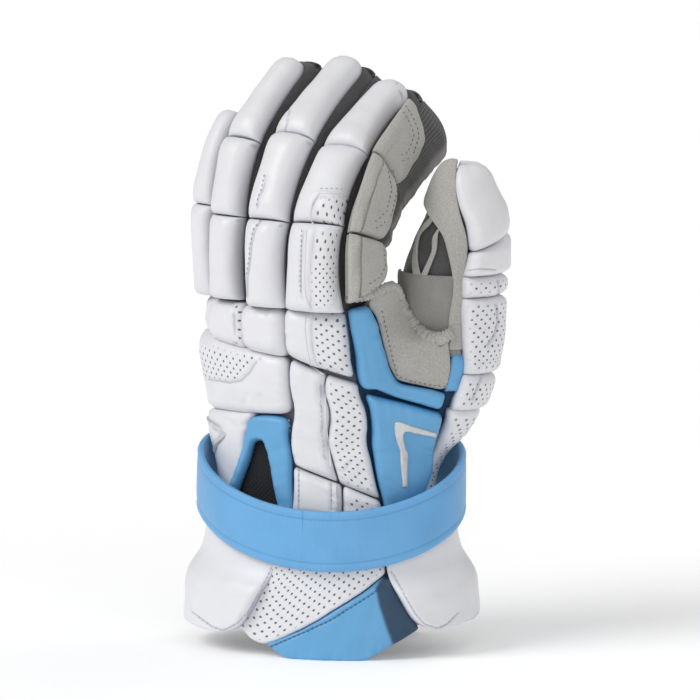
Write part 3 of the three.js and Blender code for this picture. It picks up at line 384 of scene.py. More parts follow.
def hand_table():
    """The hand sleeve's outline at every half millimetre of height and of the way round."""
    levels = np.arange(18, 206.1, 0.5)
    rows = read_track(HAND, levels)
    turn = np.linspace(-math.pi, math.pi, 361)
    nx, ny = np.sin(turn), -np.cos(turn)
    ways = np.arange(-260, 340.1, 0.5)
    sheet = np.zeros((len(levels), len(ways), 2))
    around = np.zeros((len(levels), 2))
    for n, r in enumerate(rows):
        spin = math.radians(r[5])
        c, s = math.cos(spin), math.sin(spin)
        mx, my = nx * c + ny * s, ny * c - nx * s
        root = np.hypot(r[3] * mx, r[4] * my)
        ex, ey = r[3] ** 2 * mx / root, r[4] ** 2 * my / root
        palm = r[1] * nx + r[2] * ny + root
        thumb = r[6] * nx + r[7] * ny + r[8]
        x = np.where(palm >= thumb, r[1] + ex * c - ey * s, r[6] + r[8] * nx)
        y = np.where(palm >= thumb, r[2] + ex * s + ey * c, r[7] + r[8] * ny)
        q = np.concatenate([[0], np.cumsum(np.hypot(np.diff(x), np.diff(y)))])
        q -= q[180]
        around[n] = q[0], q[-1]
        turned = q[0] + np.mod(ways - q[0], q[-1] - q[0])
        sheet[n, :, 0] = np.interp(turned, q, x)
        sheet[n, :, 1] = np.interp(turned, q, y)
    return levels, ways, sheet, around


HAND_LEVELS, HAND_WAYS, HAND_SHEET, HAND_AROUND = hand_table()


def hand_flat(q, z):
    """A place on the hand sleeve."""
    u = np.clip((q - HAND_WAYS[0]) / 0.5, 0, len(HAND_WAYS) - 1.001)
    v = np.clip((z - HAND_LEVELS[0]) / 0.5, 0, len(HAND_LEVELS) - 1.001)
    i, j = u.astype(int), v.astype(int)
    s, t = (u - i)[:, None], (v - j)[:, None]
    low = HAND_SHEET[j, i] * (1 - s) + HAND_SHEET[j, i + 1] * s
    high = HAND_SHEET[j + 1, i] * (1 - s) + HAND_SHEET[j + 1, i + 1] * s
    return np.column_stack([low * (1 - t) + high * t, z])


def thumb_flat(q, z):
    """A place on the thumb, q in degrees."""
    r = read_track(THUMB, z)
    turn = np.radians(q)
    across = r[:, 1] + r[:, 3] * np.cos(turn)
    out = r[:, 2] + r[:, 4] * np.sin(turn)
    c, s = math.cos(SIDE_TURN), math.sin(SIDE_TURN)
    return np.column_stack([across * c + out * s, across * s - out * c, z])


def cuff_flat(q, z):
    """A place on the cuff oval, q in degrees."""
    r = read_track(CUFF, z)
    turn = np.radians(q)
    x, y = r[:, 1] * np.sin(turn), -r[:, 2] * np.cos(turn)
    c, s = math.cos(CUFF_TURN), math.sin(CUFF_TURN)
    return np.column_stack([CUFF_CENTRE[0] + x * c - y * s, CUFF_CENTRE[1] + x * s + y * c, z])


# Chart: place, which way is out, millimetres along the surface for one step round
CHARTS = {"hand": (hand_flat, 1, 1.0), "thumb": (thumb_flat, -1, 0.42), "cuff": (cuff_flat, 1, 1.05)}


def lifted(chart, q, z, out):
    """A place at a height above a chart's surface."""
    flat, sign, _ = CHARTS[chart]
    along = flat(q + 1, z) - flat(q - 1, z)
    up = flat(q, z + 1) - flat(q, z - 1)
    normal = np.cross(along, up)
    normal /= np.maximum(np.linalg.norm(normal, axis=1), 1e-9)[:, None]
    return flat(q, z) + normal * (sign * np.asarray(out))[:, None]


def finger_line(finger):
    """Places and outward directions along a finger, one a millimetre."""
    knots = np.array([
        [0, finger["bend0"]],
        [finger["joint2"] - 12, finger["bend0"] + 2],
        [finger["joint2"] + 10, finger["bend1"]],
        [finger["joint3"] - 6, finger["bend1"] + 1],
        [finger["joint3"] + 6, finger["bend2"]],
        [200, finger["bend2"] + 1],
    ])
    bend = np.radians(np.interp(np.arange(201), knots[:, 0], knots[:, 1]))
    turn = math.radians(finger["turn"])
    back = np.array([math.sin(turn), -math.cos(turn), 0])
    up = np.array([0, 0, 1.0])
    along = np.cos(bend)[:, None] * up - np.sin(bend)[:, None] * back
    out = np.cos(bend)[:, None] * back + np.sin(bend)[:, None] * up
    start = np.array([finger["root_x"], finger["root_y"], FINGER_ROOT])
    at = start + np.vstack([[0, 0, 0], np.cumsum(along, axis=0)[:-1]])
    return at, out, np.array([math.cos(turn), math.sin(turn), 0])


FINGER_LINES = {name: finger_line(finger) for name, finger in FINGERS.items()}


def on_finger(name, x, y, s):
    """A place beside a finger: x across, y towards the back, s along."""
    at, out, side = FINGER_LINES[name]
    s = np.clip(s, -20, 199)
    i = np.clip(np.floor(s).astype(int), 0, 198)
    t = (s - i)[:, None]
    middle = at[i] * (1 - t) + at[i + 1] * t
    up = out[i] * (1 - t) + out[i + 1] * t
    up /= np.linalg.norm(up, axis=1)[:, None]
    drift = FINGERS[name]["lean"] * np.maximum(0, s - 40) / 100
    return middle + side * (x + drift)[:, None] + up * np.asarray(y)[:, None]


def seen(points):
    """Where places fall on the front view's drawing."""
    x = VIEW_ZERO[0] + points @ VIEW_RIGHT / VIEW_UNIT
    y = VIEW_ZERO[1] - points @ VIEW_UP / VIEW_UNIT
    return np.column_stack([x, y])


def corners(text):
    """Corners of a line written as 'x,y x,y'."""
    return np.array([[float(n) for n in pair.split(",")] for pair in text.split()])


def away(flat, line, closed=False):
    """Distance from drawn places to a line, in the line's units."""
    best = np.full(len(flat), 1e9)
    ends = list(zip(line[:-1], line[1:])) + ([(line[-1], line[0])] if closed else [])
    for p, q in ends:
        d = q - p
        t = np.clip(((flat - p) @ d) / max(d @ d, 1e-9), 0, 1)
        best = np.minimum(best, np.linalg.norm(flat - p - t[:, None] * d, axis=1))
    return best


def within(flat, line):
    """Signed distance to a closed outline: negative inside."""
    inside = np.zeros(len(flat), bool)
    for p, q in zip(line, np.roll(line, -1, axis=0)):
        rise = np.where(abs(q[1] - p[1]) < 1e-9, 1e-9, q[1] - p[1])
        crosses = ((p[1] > flat[:, 1]) != (q[1] > flat[:, 1]))
        inside ^= crosses & (flat[:, 0] < (q[0] - p[0]) * (flat[:, 1] - p[1]) / rise + p[0])
    reach = away(flat, line, True)
    return np.where(inside, -reach, reach)


def ripple(seed, x, y, size):
    """Soft uneven waves about one size long, from -1 to 1."""
    dice = np.random.default_rng(seed)
    total = np.zeros(np.broadcast(x, y).shape)
    for _ in range(7):
        turn, phase, scale = dice.uniform(0, math.tau), dice.uniform(0, math.tau), dice.uniform(0.65, 1.5)
        total += np.sin((x * math.cos(turn) + y * math.sin(turn)) * math.tau * scale / size + phase)
    return total / 3.6


def smooth(low, high, value):
    """0 below low, 1 above high, eased between."""
    t = np.clip((value - low) / (high - low), 0, 1)
    return t * t * (3 - 2 * t)


# Finishes
COLOURS = {
    "white": "#e0e0e3",
    # painted shade: the darker tone of the white leather along rolled edges, grooves, creases and the sides of
    # rolls
    "white_painted_shade": "#a9a9b8",
    "scuff": "#8d8b88",
    "punched": "#5d5d63",
    "blue": "#62a4d2",
    # painted shade: the darker tone of the blue leather along rolled edges, grooves and creases
    "blue_painted_shade": "#2f6f9f",
    "strap": "#6baee2",
    # painted shade: the darker tone of the strap in its stitch groove and along its rounded edges
    "strap_painted_shade": "#356f9e",
    "liner": "#1b3d59",
    "liner_light": "#2d6390",
    "pale_lining": "#8b8b9a",
    "pale_fleck": "#7a7a8a",
    "suede": "#b8b6b1",
    # suede flecks in the nap, and painted shade in the suede's folds and the binding's gathers
    "suede_fleck_and_shade": "#75736e",
    "suede_drift": "#c4c2bc",
    "mesh": "#3c3c3e",
    "mesh_light": "#7c7c7a",
    # palm suede: the grey suede made darker as painted shade for the inside of the thumb; also used on the palm and
    # on the stalls' palm side
    "palm": "#8f8d89",
    "silver": "#d2d3d5",
    "silver_shade": "#9a9b9e",
    "vent": "#0d0e10",
    "vent_rib": "#15171a",
    "thread": "#c3c3d0",
    "grey_thread": "#6e6d6a",
    "thread_shade": "#8d8d90",
    "floor": "#fbfbfb",
    "floor_shade": "#f6f6f6",
}
EASED = {"interpolation_type": "SMOOTHSTEP"}
COLOUR = {"out": 2, "data_type": "RGBA"}
MADE = {}


def linear(code):
    """An sRGB hex colour as linear red, green, blue and alpha."""
    parts = [int(code[i:i + 2], 16) / 255 for i in (1, 3, 5)]
    return tuple(v / 12.92 if v <= 0.04045 else ((v + 0.055) / 1.055) ** 2.4 for v in parts) + (1.0,)


def feed(node, inputs):
    """Give each input its value, or the socket that feeds it."""
    for key, value in inputs.items():
        if isinstance(value, bpy.types.NodeSocket):
            node.id_data.links.new(value, node.inputs[key])
        else:
            node.inputs[key].default_value = value


def add_node(tree, kind, inputs=None, out=0, **settings):
    """One shader node with its settings and inputs; gives back one of its outputs."""
    made = tree.nodes.new("ShaderNode" + kind)
    for key, value in settings.items():
        setattr(made, key, value)
    feed(made, inputs or {})
    return made.outputs[out]


def start(name, roughness, **sockets):
    """A new material: its shader, its way to add a node, and the places and cloth map that patterns read."""
    material = bpy.data.materials.new(name)
    material.use_nodes = True
    shader = material.node_tree.nodes["Principled BSDF"]
    feed(shader, {"Roughness": roughness, **{key.replace("_", " "): value for key, value in sockets.items()}})
    add = functools.partial(add_node, material.node_tree)
    return material, shader, add, add("TexCoord", out="Object"), add("UVMap", uv_map="cloth")


def dots(add, cloth, pitch, radius):
    """Punched holes in staggered rows, 1 in a hole; pitch and radius in millimetres."""
    near = None
    for shift in (0.0, 0.5):
        cell = cloth
        for operation, size in (
            ("DIVIDE", (pitch, pitch, 1)), ("ADD", (shift, shift, 0)), ("FRACTION", (0, 0, 0)),
            ("SUBTRACT", (0.5, 0.5, 0)), ("MULTIPLY", (pitch, pitch, 0)),
        ):
            cell = add("VectorMath", {0: cell, 1: size}, operation=operation)
        reach = add("VectorMath", {0: cell}, "Value", operation="LENGTH")
        near = reach if near is None else add("Math", {0: near, 1: reach}, operation="MINIMUM")
    span = {"From Min": radius * 0.7, "From Max": radius * 1.25, "To Min": 1.0, "To Max": 0.0}
    return add("MapRange", {"Value": near, **span}, **EASED)


def threads(add, cloth, direction, pitch):
    """Thread ridges running one way, pitch in millimetres."""
    along = add("VectorMath", {0: cloth, 1: direction}, "Value", operation="DOT_PRODUCT")
    turn = add("Math", {0: along, 1: math.tau / pitch}, operation="MULTIPLY")
    return add("Math", {0: turn}, operation="SINE")


def leather(name, base, seam, tones, roughness, punched):
    """Coated synthetic leather, calendered and foam backed: fine pebble grain, soft gloss, painted shade in its
    folds.
    """
    material, shader, add, place, cloth = start(name, roughness, IOR=1.5, Coat_Weight=0.08, Coat_Roughness=0.35)
    # painted shade: rolled edges, grooves and creases darkened towards the darker tone
    folds = add("Attribute", out="Fac", attribute_name="seam")
    folds = add("MapRange", {"Value": folds, "From Min": 0.35, "To Max": 0.85}, **EASED)
    tone = add("Mix", {0: folds, 6: base, 7: seam}, **COLOUR)
    # a faint random mottle, mixed towards the same darker tone
    clouds = add("TexNoise", {"Vector": place, "Scale": 45.0, "Detail": 4.0, "Roughness": 0.55})
    clouds = add("MapRange", {"Value": clouds, "From Min": 0.35, "From Max": 0.7}, **EASED)
    faint = add("Math", {0: clouds, 1: 0.06}, operation="MULTIPLY")
    tone = add("Mix", {0: faint, 6: tone, 7: seam}, **COLOUR)
    scuffs = add("TexNoise", {"Vector": place, "Scale": 260.0, "Detail": 6.0, "Roughness": 0.7})
    scuffs = add("MapRange", {"Value": scuffs, "From Min": 0.62, "From Max": 0.75, "To Max": 0.1}, **EASED)
    tone = add("Mix", {0: scuffs, 6: tone, 7: tones["scuff"]}, **COLOUR)
    # painted shadow: where the mask palm is set, the radial tab's shadow on the corner panel is painted in the
    # lining's navy
    navy_share = add("Attribute", out="Fac", attribute_name="palm")
    tone = add("Mix", {0: navy_share, 6: tone, 7: tones["liner"]}, **COLOUR)
    # Pebbles of about 1 mm over creases of about 5 mm
    grain = add("TexVoronoi", {"Vector": place, "Scale": 900.0, "Randomness": 1.0}, "Distance")
    creases = add("TexNoise", {"Vector": place, "Scale": 190.0, "Detail": 5.0, "Roughness": 0.6})
    height = add("Math", {0: grain, 1: 0.35, 2: creases}, operation="MULTIPLY_ADD")
    if punched:
        # Holes 1.2 mm across in rows 4.7 mm apart
        where = add("Attribute", out="Fac", attribute_name="holes")
        holes = add("Math", {0: dots(add, cloth, 4.7, 0.58), 1: where}, operation="MULTIPLY")
        tone = add("Mix", {0: holes, 6: tone, 7: tones["punched"]}, **COLOUR)
        height = add("Math", {0: holes, 1: -2.0, 2: height}, operation="MULTIPLY_ADD")
    rough = add("MapRange", {"Value": clouds, "To Min": roughness - 0.06, "To Max": roughness + 0.08}, **EASED)
    normal = add("Bump", {"Height": height, "Distance": 0.00016, "Strength": 0.7})
    feed(shader, {"Base Color": tone, "Roughness": rough, "Normal": normal})
    return material


def suede(name, base, tones):
    """Brushed suede: a short nap that lies in drifts and catches light at the edges."""
    material, shader, add, place, _ = start(name, 0.95, Sheen_Weight=0.35, Sheen_Roughness=0.5)
    # Nap of 0.7 mm, drawn coarser than real so that it shows
    nap = add("TexNoise", {"Vector": place, "Scale": 1400.0, "Detail": 4.0, "Roughness": 0.7})
    fleck = add("MapRange", {"Value": nap, "From Min": 0.3, "From Max": 0.72, "To Max": 0.55}, **EASED)
    tone = add("Mix", {0: fleck, 6: base, 7: tones["suede_fleck_and_shade"]}, **COLOUR)
    drift = add("TexNoise", {"Vector": place, "Scale": 60.0, "Detail": 3.0, "Roughness": 0.55})
    pale = add("MapRange", {"Value": drift, "From Min": 0.35, "From Max": 0.7, "To Max": 0.12}, **EASED)
    tone = add("Mix", {0: pale, 6: tone, 7: tones["suede_drift"]}, **COLOUR)
    # painted shade: folds and gathers darkened towards the fleck tone
    folds = add("Attribute", out="Fac", attribute_name="seam")
    folds = add("MapRange", {"Value": folds, "From Min": 0.4, "To Max": 0.5}, **EASED)
    tone = add("Mix", {0: folds, 6: tone, 7: tones["suede_fleck_and_shade"]}, **COLOUR)
    navy_share = add("Attribute", out="Fac", attribute_name="palm")
    tone = add("Mix", {0: navy_share, 6: tone, 7: tones["liner"]}, **COLOUR)
    height = add("Math", {0: drift, 1: 1.5, 2: nap}, operation="MULTIPLY_ADD")
    normal = add("Bump", {"Height": height, "Distance": 0.00035, "Strength": 0.8})
    feed(shader, {"Base Color": tone, "Normal": normal})
    return material


def woven(name, base, light, pitch, patch, patch_fleck):
    """Stretch mesh: two sets of diagonal threads with small dark gaps, and a plain hide where it is faced."""
    material, shader, add, place, cloth = start(name, 0.85, Sheen_Weight=0.15)
    over = threads(add, cloth, (1, 1, 0), pitch)
    across = threads(add, cloth, (1, -1, 0), pitch)
    weave = add("Math", {0: over, 1: across}, operation="MULTIPLY")
    lit = add("MapRange", {"Value": weave, "From Min": -0.4, "From Max": 0.9, "To Max": 0.75}, **EASED)
    tone = add("Mix", {0: lit, 6: base, 7: light}, **COLOUR)
    dusk = add("TexNoise", {"Vector": place, "Scale": 50.0, "Detail": 3.0, "Roughness": 0.55})
    dusk = add("MapRange", {"Value": dusk, "From Min": 0.35, "From Max": 0.7, "To Max": 0.35}, **EASED)
    tone = add("Mix", {0: dusk, 6: tone, 7: base}, **COLOUR)
    nap = add("TexNoise", {"Vector": place, "Scale": 1400.0, "Detail": 4.0, "Roughness": 0.7})
    fleck = add("MapRange", {"Value": nap, "From Min": 0.3, "From Max": 0.72, "To Max": 0.55}, **EASED)
    hide = add("Mix", {0: fleck, 6: patch, 7: patch_fleck}, **COLOUR)
    faced = add("Attribute", out="Fac", attribute_name="palm")
    tone = add("Mix", {0: faced, 6: tone, 7: hide}, **COLOUR)
    height = add("Math", {0: weave, 1: nap}, operation="ADD")
    normal = add("Bump", {"Height": height, "Distance": 0.00018, "Strength": 0.8})
    feed(shader, {"Base Color": tone, "Normal": normal})
    return material


def satin(name, base, seam):
    """Woven satin webbing over foam: fine cross ribs and a silky sheen."""
    material, shader, add, place, cloth = start(name, 0.42, Sheen_Weight=0.25, Sheen_Roughness=0.35)
    ribs = threads(add, cloth, (1, 0, 0), 0.9)
    wefts = threads(add, cloth, (0, 1, 0), 0.7)
    weave = add("Math", {0: wefts, 1: 0.6, 2: ribs}, operation="MULTIPLY_ADD")
    clouds = add("TexNoise", {"Vector": place, "Scale": 40.0, "Detail": 3.0, "Roughness": 0.55})
    # painted shade: the stitch groove and rounded edges darkened; the weave and random clouds reuse the same darker
    # tone
    folds = add("Attribute", out="Fac", attribute_name="seam")
    tone = base
    for value, low, high, most in ((folds, 0.3, 1.0, 0.8), (weave, -1.6, 1.6, 0.14), (clouds, 0.35, 0.7, 0.12)):
        share = add("MapRange", {"Value": value, "From Min": low, "From Max": high, "To Max": most}, **EASED)
        tone = add("Mix", {0: share, 6: tone, 7: seam}, **COLOUR)
    normal = add("Bump", {"Height": weave, "Distance": 0.00008, "Strength": 0.6})
    feed(shader, {"Base Color": tone, "Normal": normal})
    return material


def moulded(name, base, shade):
    """Satin silver moulding: vacuum-metallised soft plastic with faint flow marks."""
    material, shader, add, place, _ = start(name, 0.38, Metallic=0.35)
    flow = add("TexNoise", {"Vector": place, "Scale": 300.0, "Detail": 4.0, "Roughness": 0.55})
    share = add("MapRange", {"Value": flow, "From Min": 0.3, "From Max": 0.7, "To Max": 0.3}, **EASED)
    normal = add("Bump", {"Height": flow, "Distance": 0.0001, "Strength": 0.5})
    feed(shader, {"Base Color": add("Mix", {0: share, 6: base, 7: shade}, **COLOUR), "Normal": normal})
    return material


def grille(name, base, rib):
    """Black spacer mesh: open honeycomb knit, 2.6 mm from cell to cell."""
    material, shader, add, _, cloth = start(name, 0.8)
    holes = dots(add, cloth, 2.6, 0.7)
    height = add("Math", {0: 1.0, 1: holes}, operation="SUBTRACT")
    normal = add("Bump", {"Height": height, "Distance": 0.0004, "Strength": 1.0})
    feed(shader, {"Base Color": add("Mix", {0: holes, 6: rib, 7: base}, **COLOUR), "Normal": normal})
    return material


def twisted(name, base, shade):
    """Polyester sewing thread, drawn about twice its real size so that it shows."""
    material, shader, add, place, _ = start(name, 0.6, Sheen_Weight=0.3)
    ply = add("TexNoise", {"Vector": place, "Scale": 2200.0, "Detail": 2.0, "Roughness": 0.55})
    share = add("MapRange", {"Value": ply, "From Min": 0.35, "From Max": 0.7, "To Max": 0.4}, **EASED)
    normal = add("Bump", {"Height": ply, "Distance": 0.0001, "Strength": 0.5})
    feed(shader, {"Base Color": add("Mix", {0: share, 6: base, 7: shade}, **COLOUR), "Normal": normal})
    return material


def paper(name, base, shade):
    """Matt studio paper with a faint tooth, lit a little from within so that it reads as white."""
    material, shader, add, place, _ = start(name, 0.9, Emission_Color=(1, 1, 1, 1), Emission_Strength=0.18)
    tooth = add("TexNoise", {"Vector": place, "Scale": 30.0, "Detail": 3.0, "Roughness": 0.55})
    share = add("MapRange", {"Value": tooth, "From Min": 0.3, "From Max": 0.7, "To Max": 0.2}, **EASED)
    feed(shader, {"Base Color": add("Mix", {0: share, 6: base, 7: shade}, **COLOUR)})
    return material


def finish_materials(chosen):
    """Every finish of the glove, by short name."""
    tones = {key: linear(code) for key, code in COLOURS.items()}
    tones.update(chosen)
    shade = tones["thread_shade"]
    MADE.update({
        "white": leather("White coated leather", tones["white"], tones["white_painted_shade"], tones, 0.46, True),
        "holes": leather("White punched leather", tones["white"], tones["white_painted_shade"], tones, 0.5, True),
        "blue": leather("Light blue coated leather", tones["blue"], tones["blue_painted_shade"], tones, 0.42, False),
        "strap": satin("Light blue satin webbing", tones["strap"], tones["strap_painted_shade"]),
        "liner": woven(
            "Dark blue tricot lining", tones["liner"], tones["liner_light"], 1.1, tones["pale_lining"],
            tones["pale_fleck"],
        ),
        "suede": suede("Grey brushed suede", tones["suede"], tones),
        # palm suede: a darker copy of the grey suede, painted shade
        "palm": suede("Grey palm suede", tones["palm"], tones),
        # the stalls' palm side is faced in the darker palm suede tone, painted shade
        "mesh": woven(
            "Dark grey stretch mesh", tones["mesh"], tones["mesh_light"], 1.25, tones["palm"], tones["suede_fleck_and_shade"],
        ),
        "silver": moulded("Silver moulded trim", tones["silver"], tones["silver_shade"]),
        "vent": grille("Black vent mesh", tones["vent"], tones["vent_rib"]),
        "thread": twisted("Off-white sewing thread", tones["thread"], shade),
        "grey_thread": twisted("Grey sewing thread", tones["grey_thread"], shade),
        "navy_thread": twisted("Navy sewing thread", tones["liner"], shade),
        "floor": paper("White studio paper", tones["floor"], tones["floor_shade"]),
    })


COVERS = []


# Building pieces
def settle(name, mesh, finish, nodes=(), trace=True):
    """Link a finished mesh, and say what it rides on, stands for and is made of."""
    piece = bpy.data.objects.new(name, mesh)
    bpy.context.scene.collection.objects.link(piece)
    mesh.materials.clear()
    mesh.materials.append(MADE[finish])
    mesh.polygons.foreach_set("use_smooth", np.ones(len(mesh.polygons), bool))
    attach(piece, "root")
    if nodes:
        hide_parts(*nodes)
    if trace:
        COVERS.append(piece)
    return piece


def cover(name, columns, rows, shape, finish, nodes=(), closed=True, weld=False, trace=True):
    """A piece from a grid: shape(a, b, under) gives places in millimetres, a cloth map in millimetres and masks."""
    bm = bmesh.new()
    bmesh.ops.create_grid(bm, x_segments=columns, y_segments=rows, size=0.5)
    if closed:
        copy = bmesh.ops.duplicate(bm, geom=bm.verts[:] + bm.edges[:] + bm.faces[:])["geom"]
        bmesh.ops.translate(bm, verts=[g for g in copy if isinstance(g, bmesh.types.BMVert)], vec=(0, 0, -0.01))
        bmesh.ops.reverse_faces(bm, faces=[g for g in copy if isinstance(g, bmesh.types.BMFace)])
        bmesh.ops.bridge_loops(bm, edges=[e for e in bm.edges if e.is_boundary])
    mesh = bpy.data.meshes.new(name)
    bm.to_mesh(mesh)
    flat = np.zeros(len(mesh.vertices) * 3)
    mesh.vertices.foreach_get("co", flat)
    flat = flat.reshape(-1, 3)
    points, cloth, masks = shape(
        np.clip(flat[:, 0] + 0.5, 0, 1), np.clip(flat[:, 1] + 0.5, 0, 1), flat[:, 2] < -0.005,
    )
    mesh.vertices.foreach_set("co", ((points + OFFSET) / 1000).astype(np.float32).ravel())
    layer = mesh.uv_layers.new(name="cloth")
    corner = np.zeros(len(mesh.loops), np.int32)
    mesh.loops.foreach_get("vertex_index", corner)
    layer.data.foreach_set("uv", cloth[corner].astype(np.float32).ravel())
    for key in ("seam", "holes", "palm"):
        attribute = mesh.attributes.new(key, "FLOAT", "POINT")
        attribute.data.foreach_set("value", np.asarray(masks.get(key, np.zeros(len(points))), np.float32))
    bm.free()
    bm = bmesh.new()
    bm.from_mesh(mesh)
    if weld:
        bmesh.ops.remove_doubles(bm, verts=bm.verts[:], dist=2e-6)
    bmesh.ops.dissolve_degenerate(bm, edges=bm.edges[:], dist=1e-7)
    bmesh.ops.recalc_face_normals(bm, faces=bm.faces[:])
    bm.to_mesh(mesh)
    bm.free()
    mesh.update()
    return settle(name, mesh, finish, nodes, trace)


def edge_walk(share, cells, width, first, last):
    """Steps over a pad: small over its rolled edges and even between; and how full it is, 0 at the edge to 1."""
    step = share * cells
    first, last = np.minimum(first, 0.42 * width), np.minimum(last, 0.42 * width)
    turn = np.clip(np.minimum(step, cells - step) / EDGE_CELLS, 0, 1) * (math.pi / 2)
    early, late = step <= EDGE_CELLS, step >= cells - EDGE_CELLS
    middle = first + (step - EDGE_CELLS) / (cells - 2 * EDGE_CELLS) * (width - first - last)
    walk = np.where(early, first * (1 - np.cos(turn)), np.where(late, width - last * (1 - np.cos(turn)), middle))
    return walk / width, np.sin(turn) ** 0.8


def cells(length, pitch=CELL):
    """How many cells a grid takes over a length, rolled edges and all."""
    return max(4, int(round(length / pitch))) + 2 * EDGE_CELLS


def marked(points, marks, height, masks):
    """Drawn seams, ridges and sunk panels, laid on a pad where the front view shows them."""
    flat = seen(points)
    for kind, line, *size in marks:
        line = corners(line)
        if kind in ("groove", "dent", "ridge"):
            wave = np.exp(-((away(flat, line) * VIEW_UNIT / size[1]) ** 2))
            height = height + size[0] * wave * (1 if kind == "ridge" else -1)
            if kind == "groove":
                # painted shade in the groove
                masks["seam"] = np.maximum(masks["seam"], 0.9 * wave)
        elif kind == "inset":
            reach = within(flat, line) * VIEW_UNIT
            height = height - size[0] * smooth(0.6, -0.9, reach)
            height = height + 0.45 * np.exp(-(((reach - 1.5) / 0.9) ** 2))
            masks["holes"] = np.maximum(masks["holes"], smooth(-0.9, -1.6, reach))
            # painted shade along the inset's edge
            masks["seam"] = np.maximum(masks["seam"], 0.7 * np.exp(-(((reach + 0.2) / 0.6) ** 2)))
        elif kind == "holes":
            masks["holes"] = np.maximum(masks["holes"], smooth(0.0, -0.8, within(flat, line) * VIEW_UNIT))
        # painted shadow: the outline is painted the lining's navy through the mask palm
        elif kind == "tint":
            masks["palm"] = smooth(1.1, -1.1, within(flat, line) * VIEW_UNIT)
    return height


def resting(tree, chart, q, z):
    """How high the pads under a trim stand at each place."""
    tops, feet = lifted(chart, q, z, np.full(len(q), RAY_START)), lifted(chart, q, z, np.zeros(len(q)))
    found = np.zeros(len(q))
    for i, (top, foot) in enumerate(zip(tops, feet)):
        ray = Vector((foot - top) / np.linalg.norm(foot - top))
        hit, _, _, reach = tree.ray_cast(Vector((top + OFFSET) / 1000), ray)
        found[i] = RAY_START - reach * 1000 if hit is not None else CLEAR
    u, v = (q - q.mean()) / np.ptp(q), (z - z.mean()) / np.ptp(z)
    terms = np.column_stack([np.ones(len(q)), u, v, u * u, u * v, v * v])
    return terms @ np.linalg.lstsq(terms, found, rcond=None)[0]


def reach_binding(q, z, share, along, points):
    """Draw a patch's outer edge out to the binding beside it."""
    edge = lifted("hand", q, z, np.ones(len(q)))
    path = read_ribs(BINDING, BINDING_FROM + (BINDING_TO - BINDING_FROM) * np.clip(along / PATCH_SHARE, 0, 1))
    pull = (smooth(-0.1, 1.0, share) * smooth(1.0, PATCH_SHARE, along))[:, None]
    return points + (path - VIEW_BACK * PATCH_SUNK - edge) * pull


def tip_rise(q, z):
    """How far the suede side of the thumb's tip stands up to meet the cap."""
    return TIP_RISE * np.exp(-(((q - 132) / 58) ** 2)) * smooth(238, 258, z)


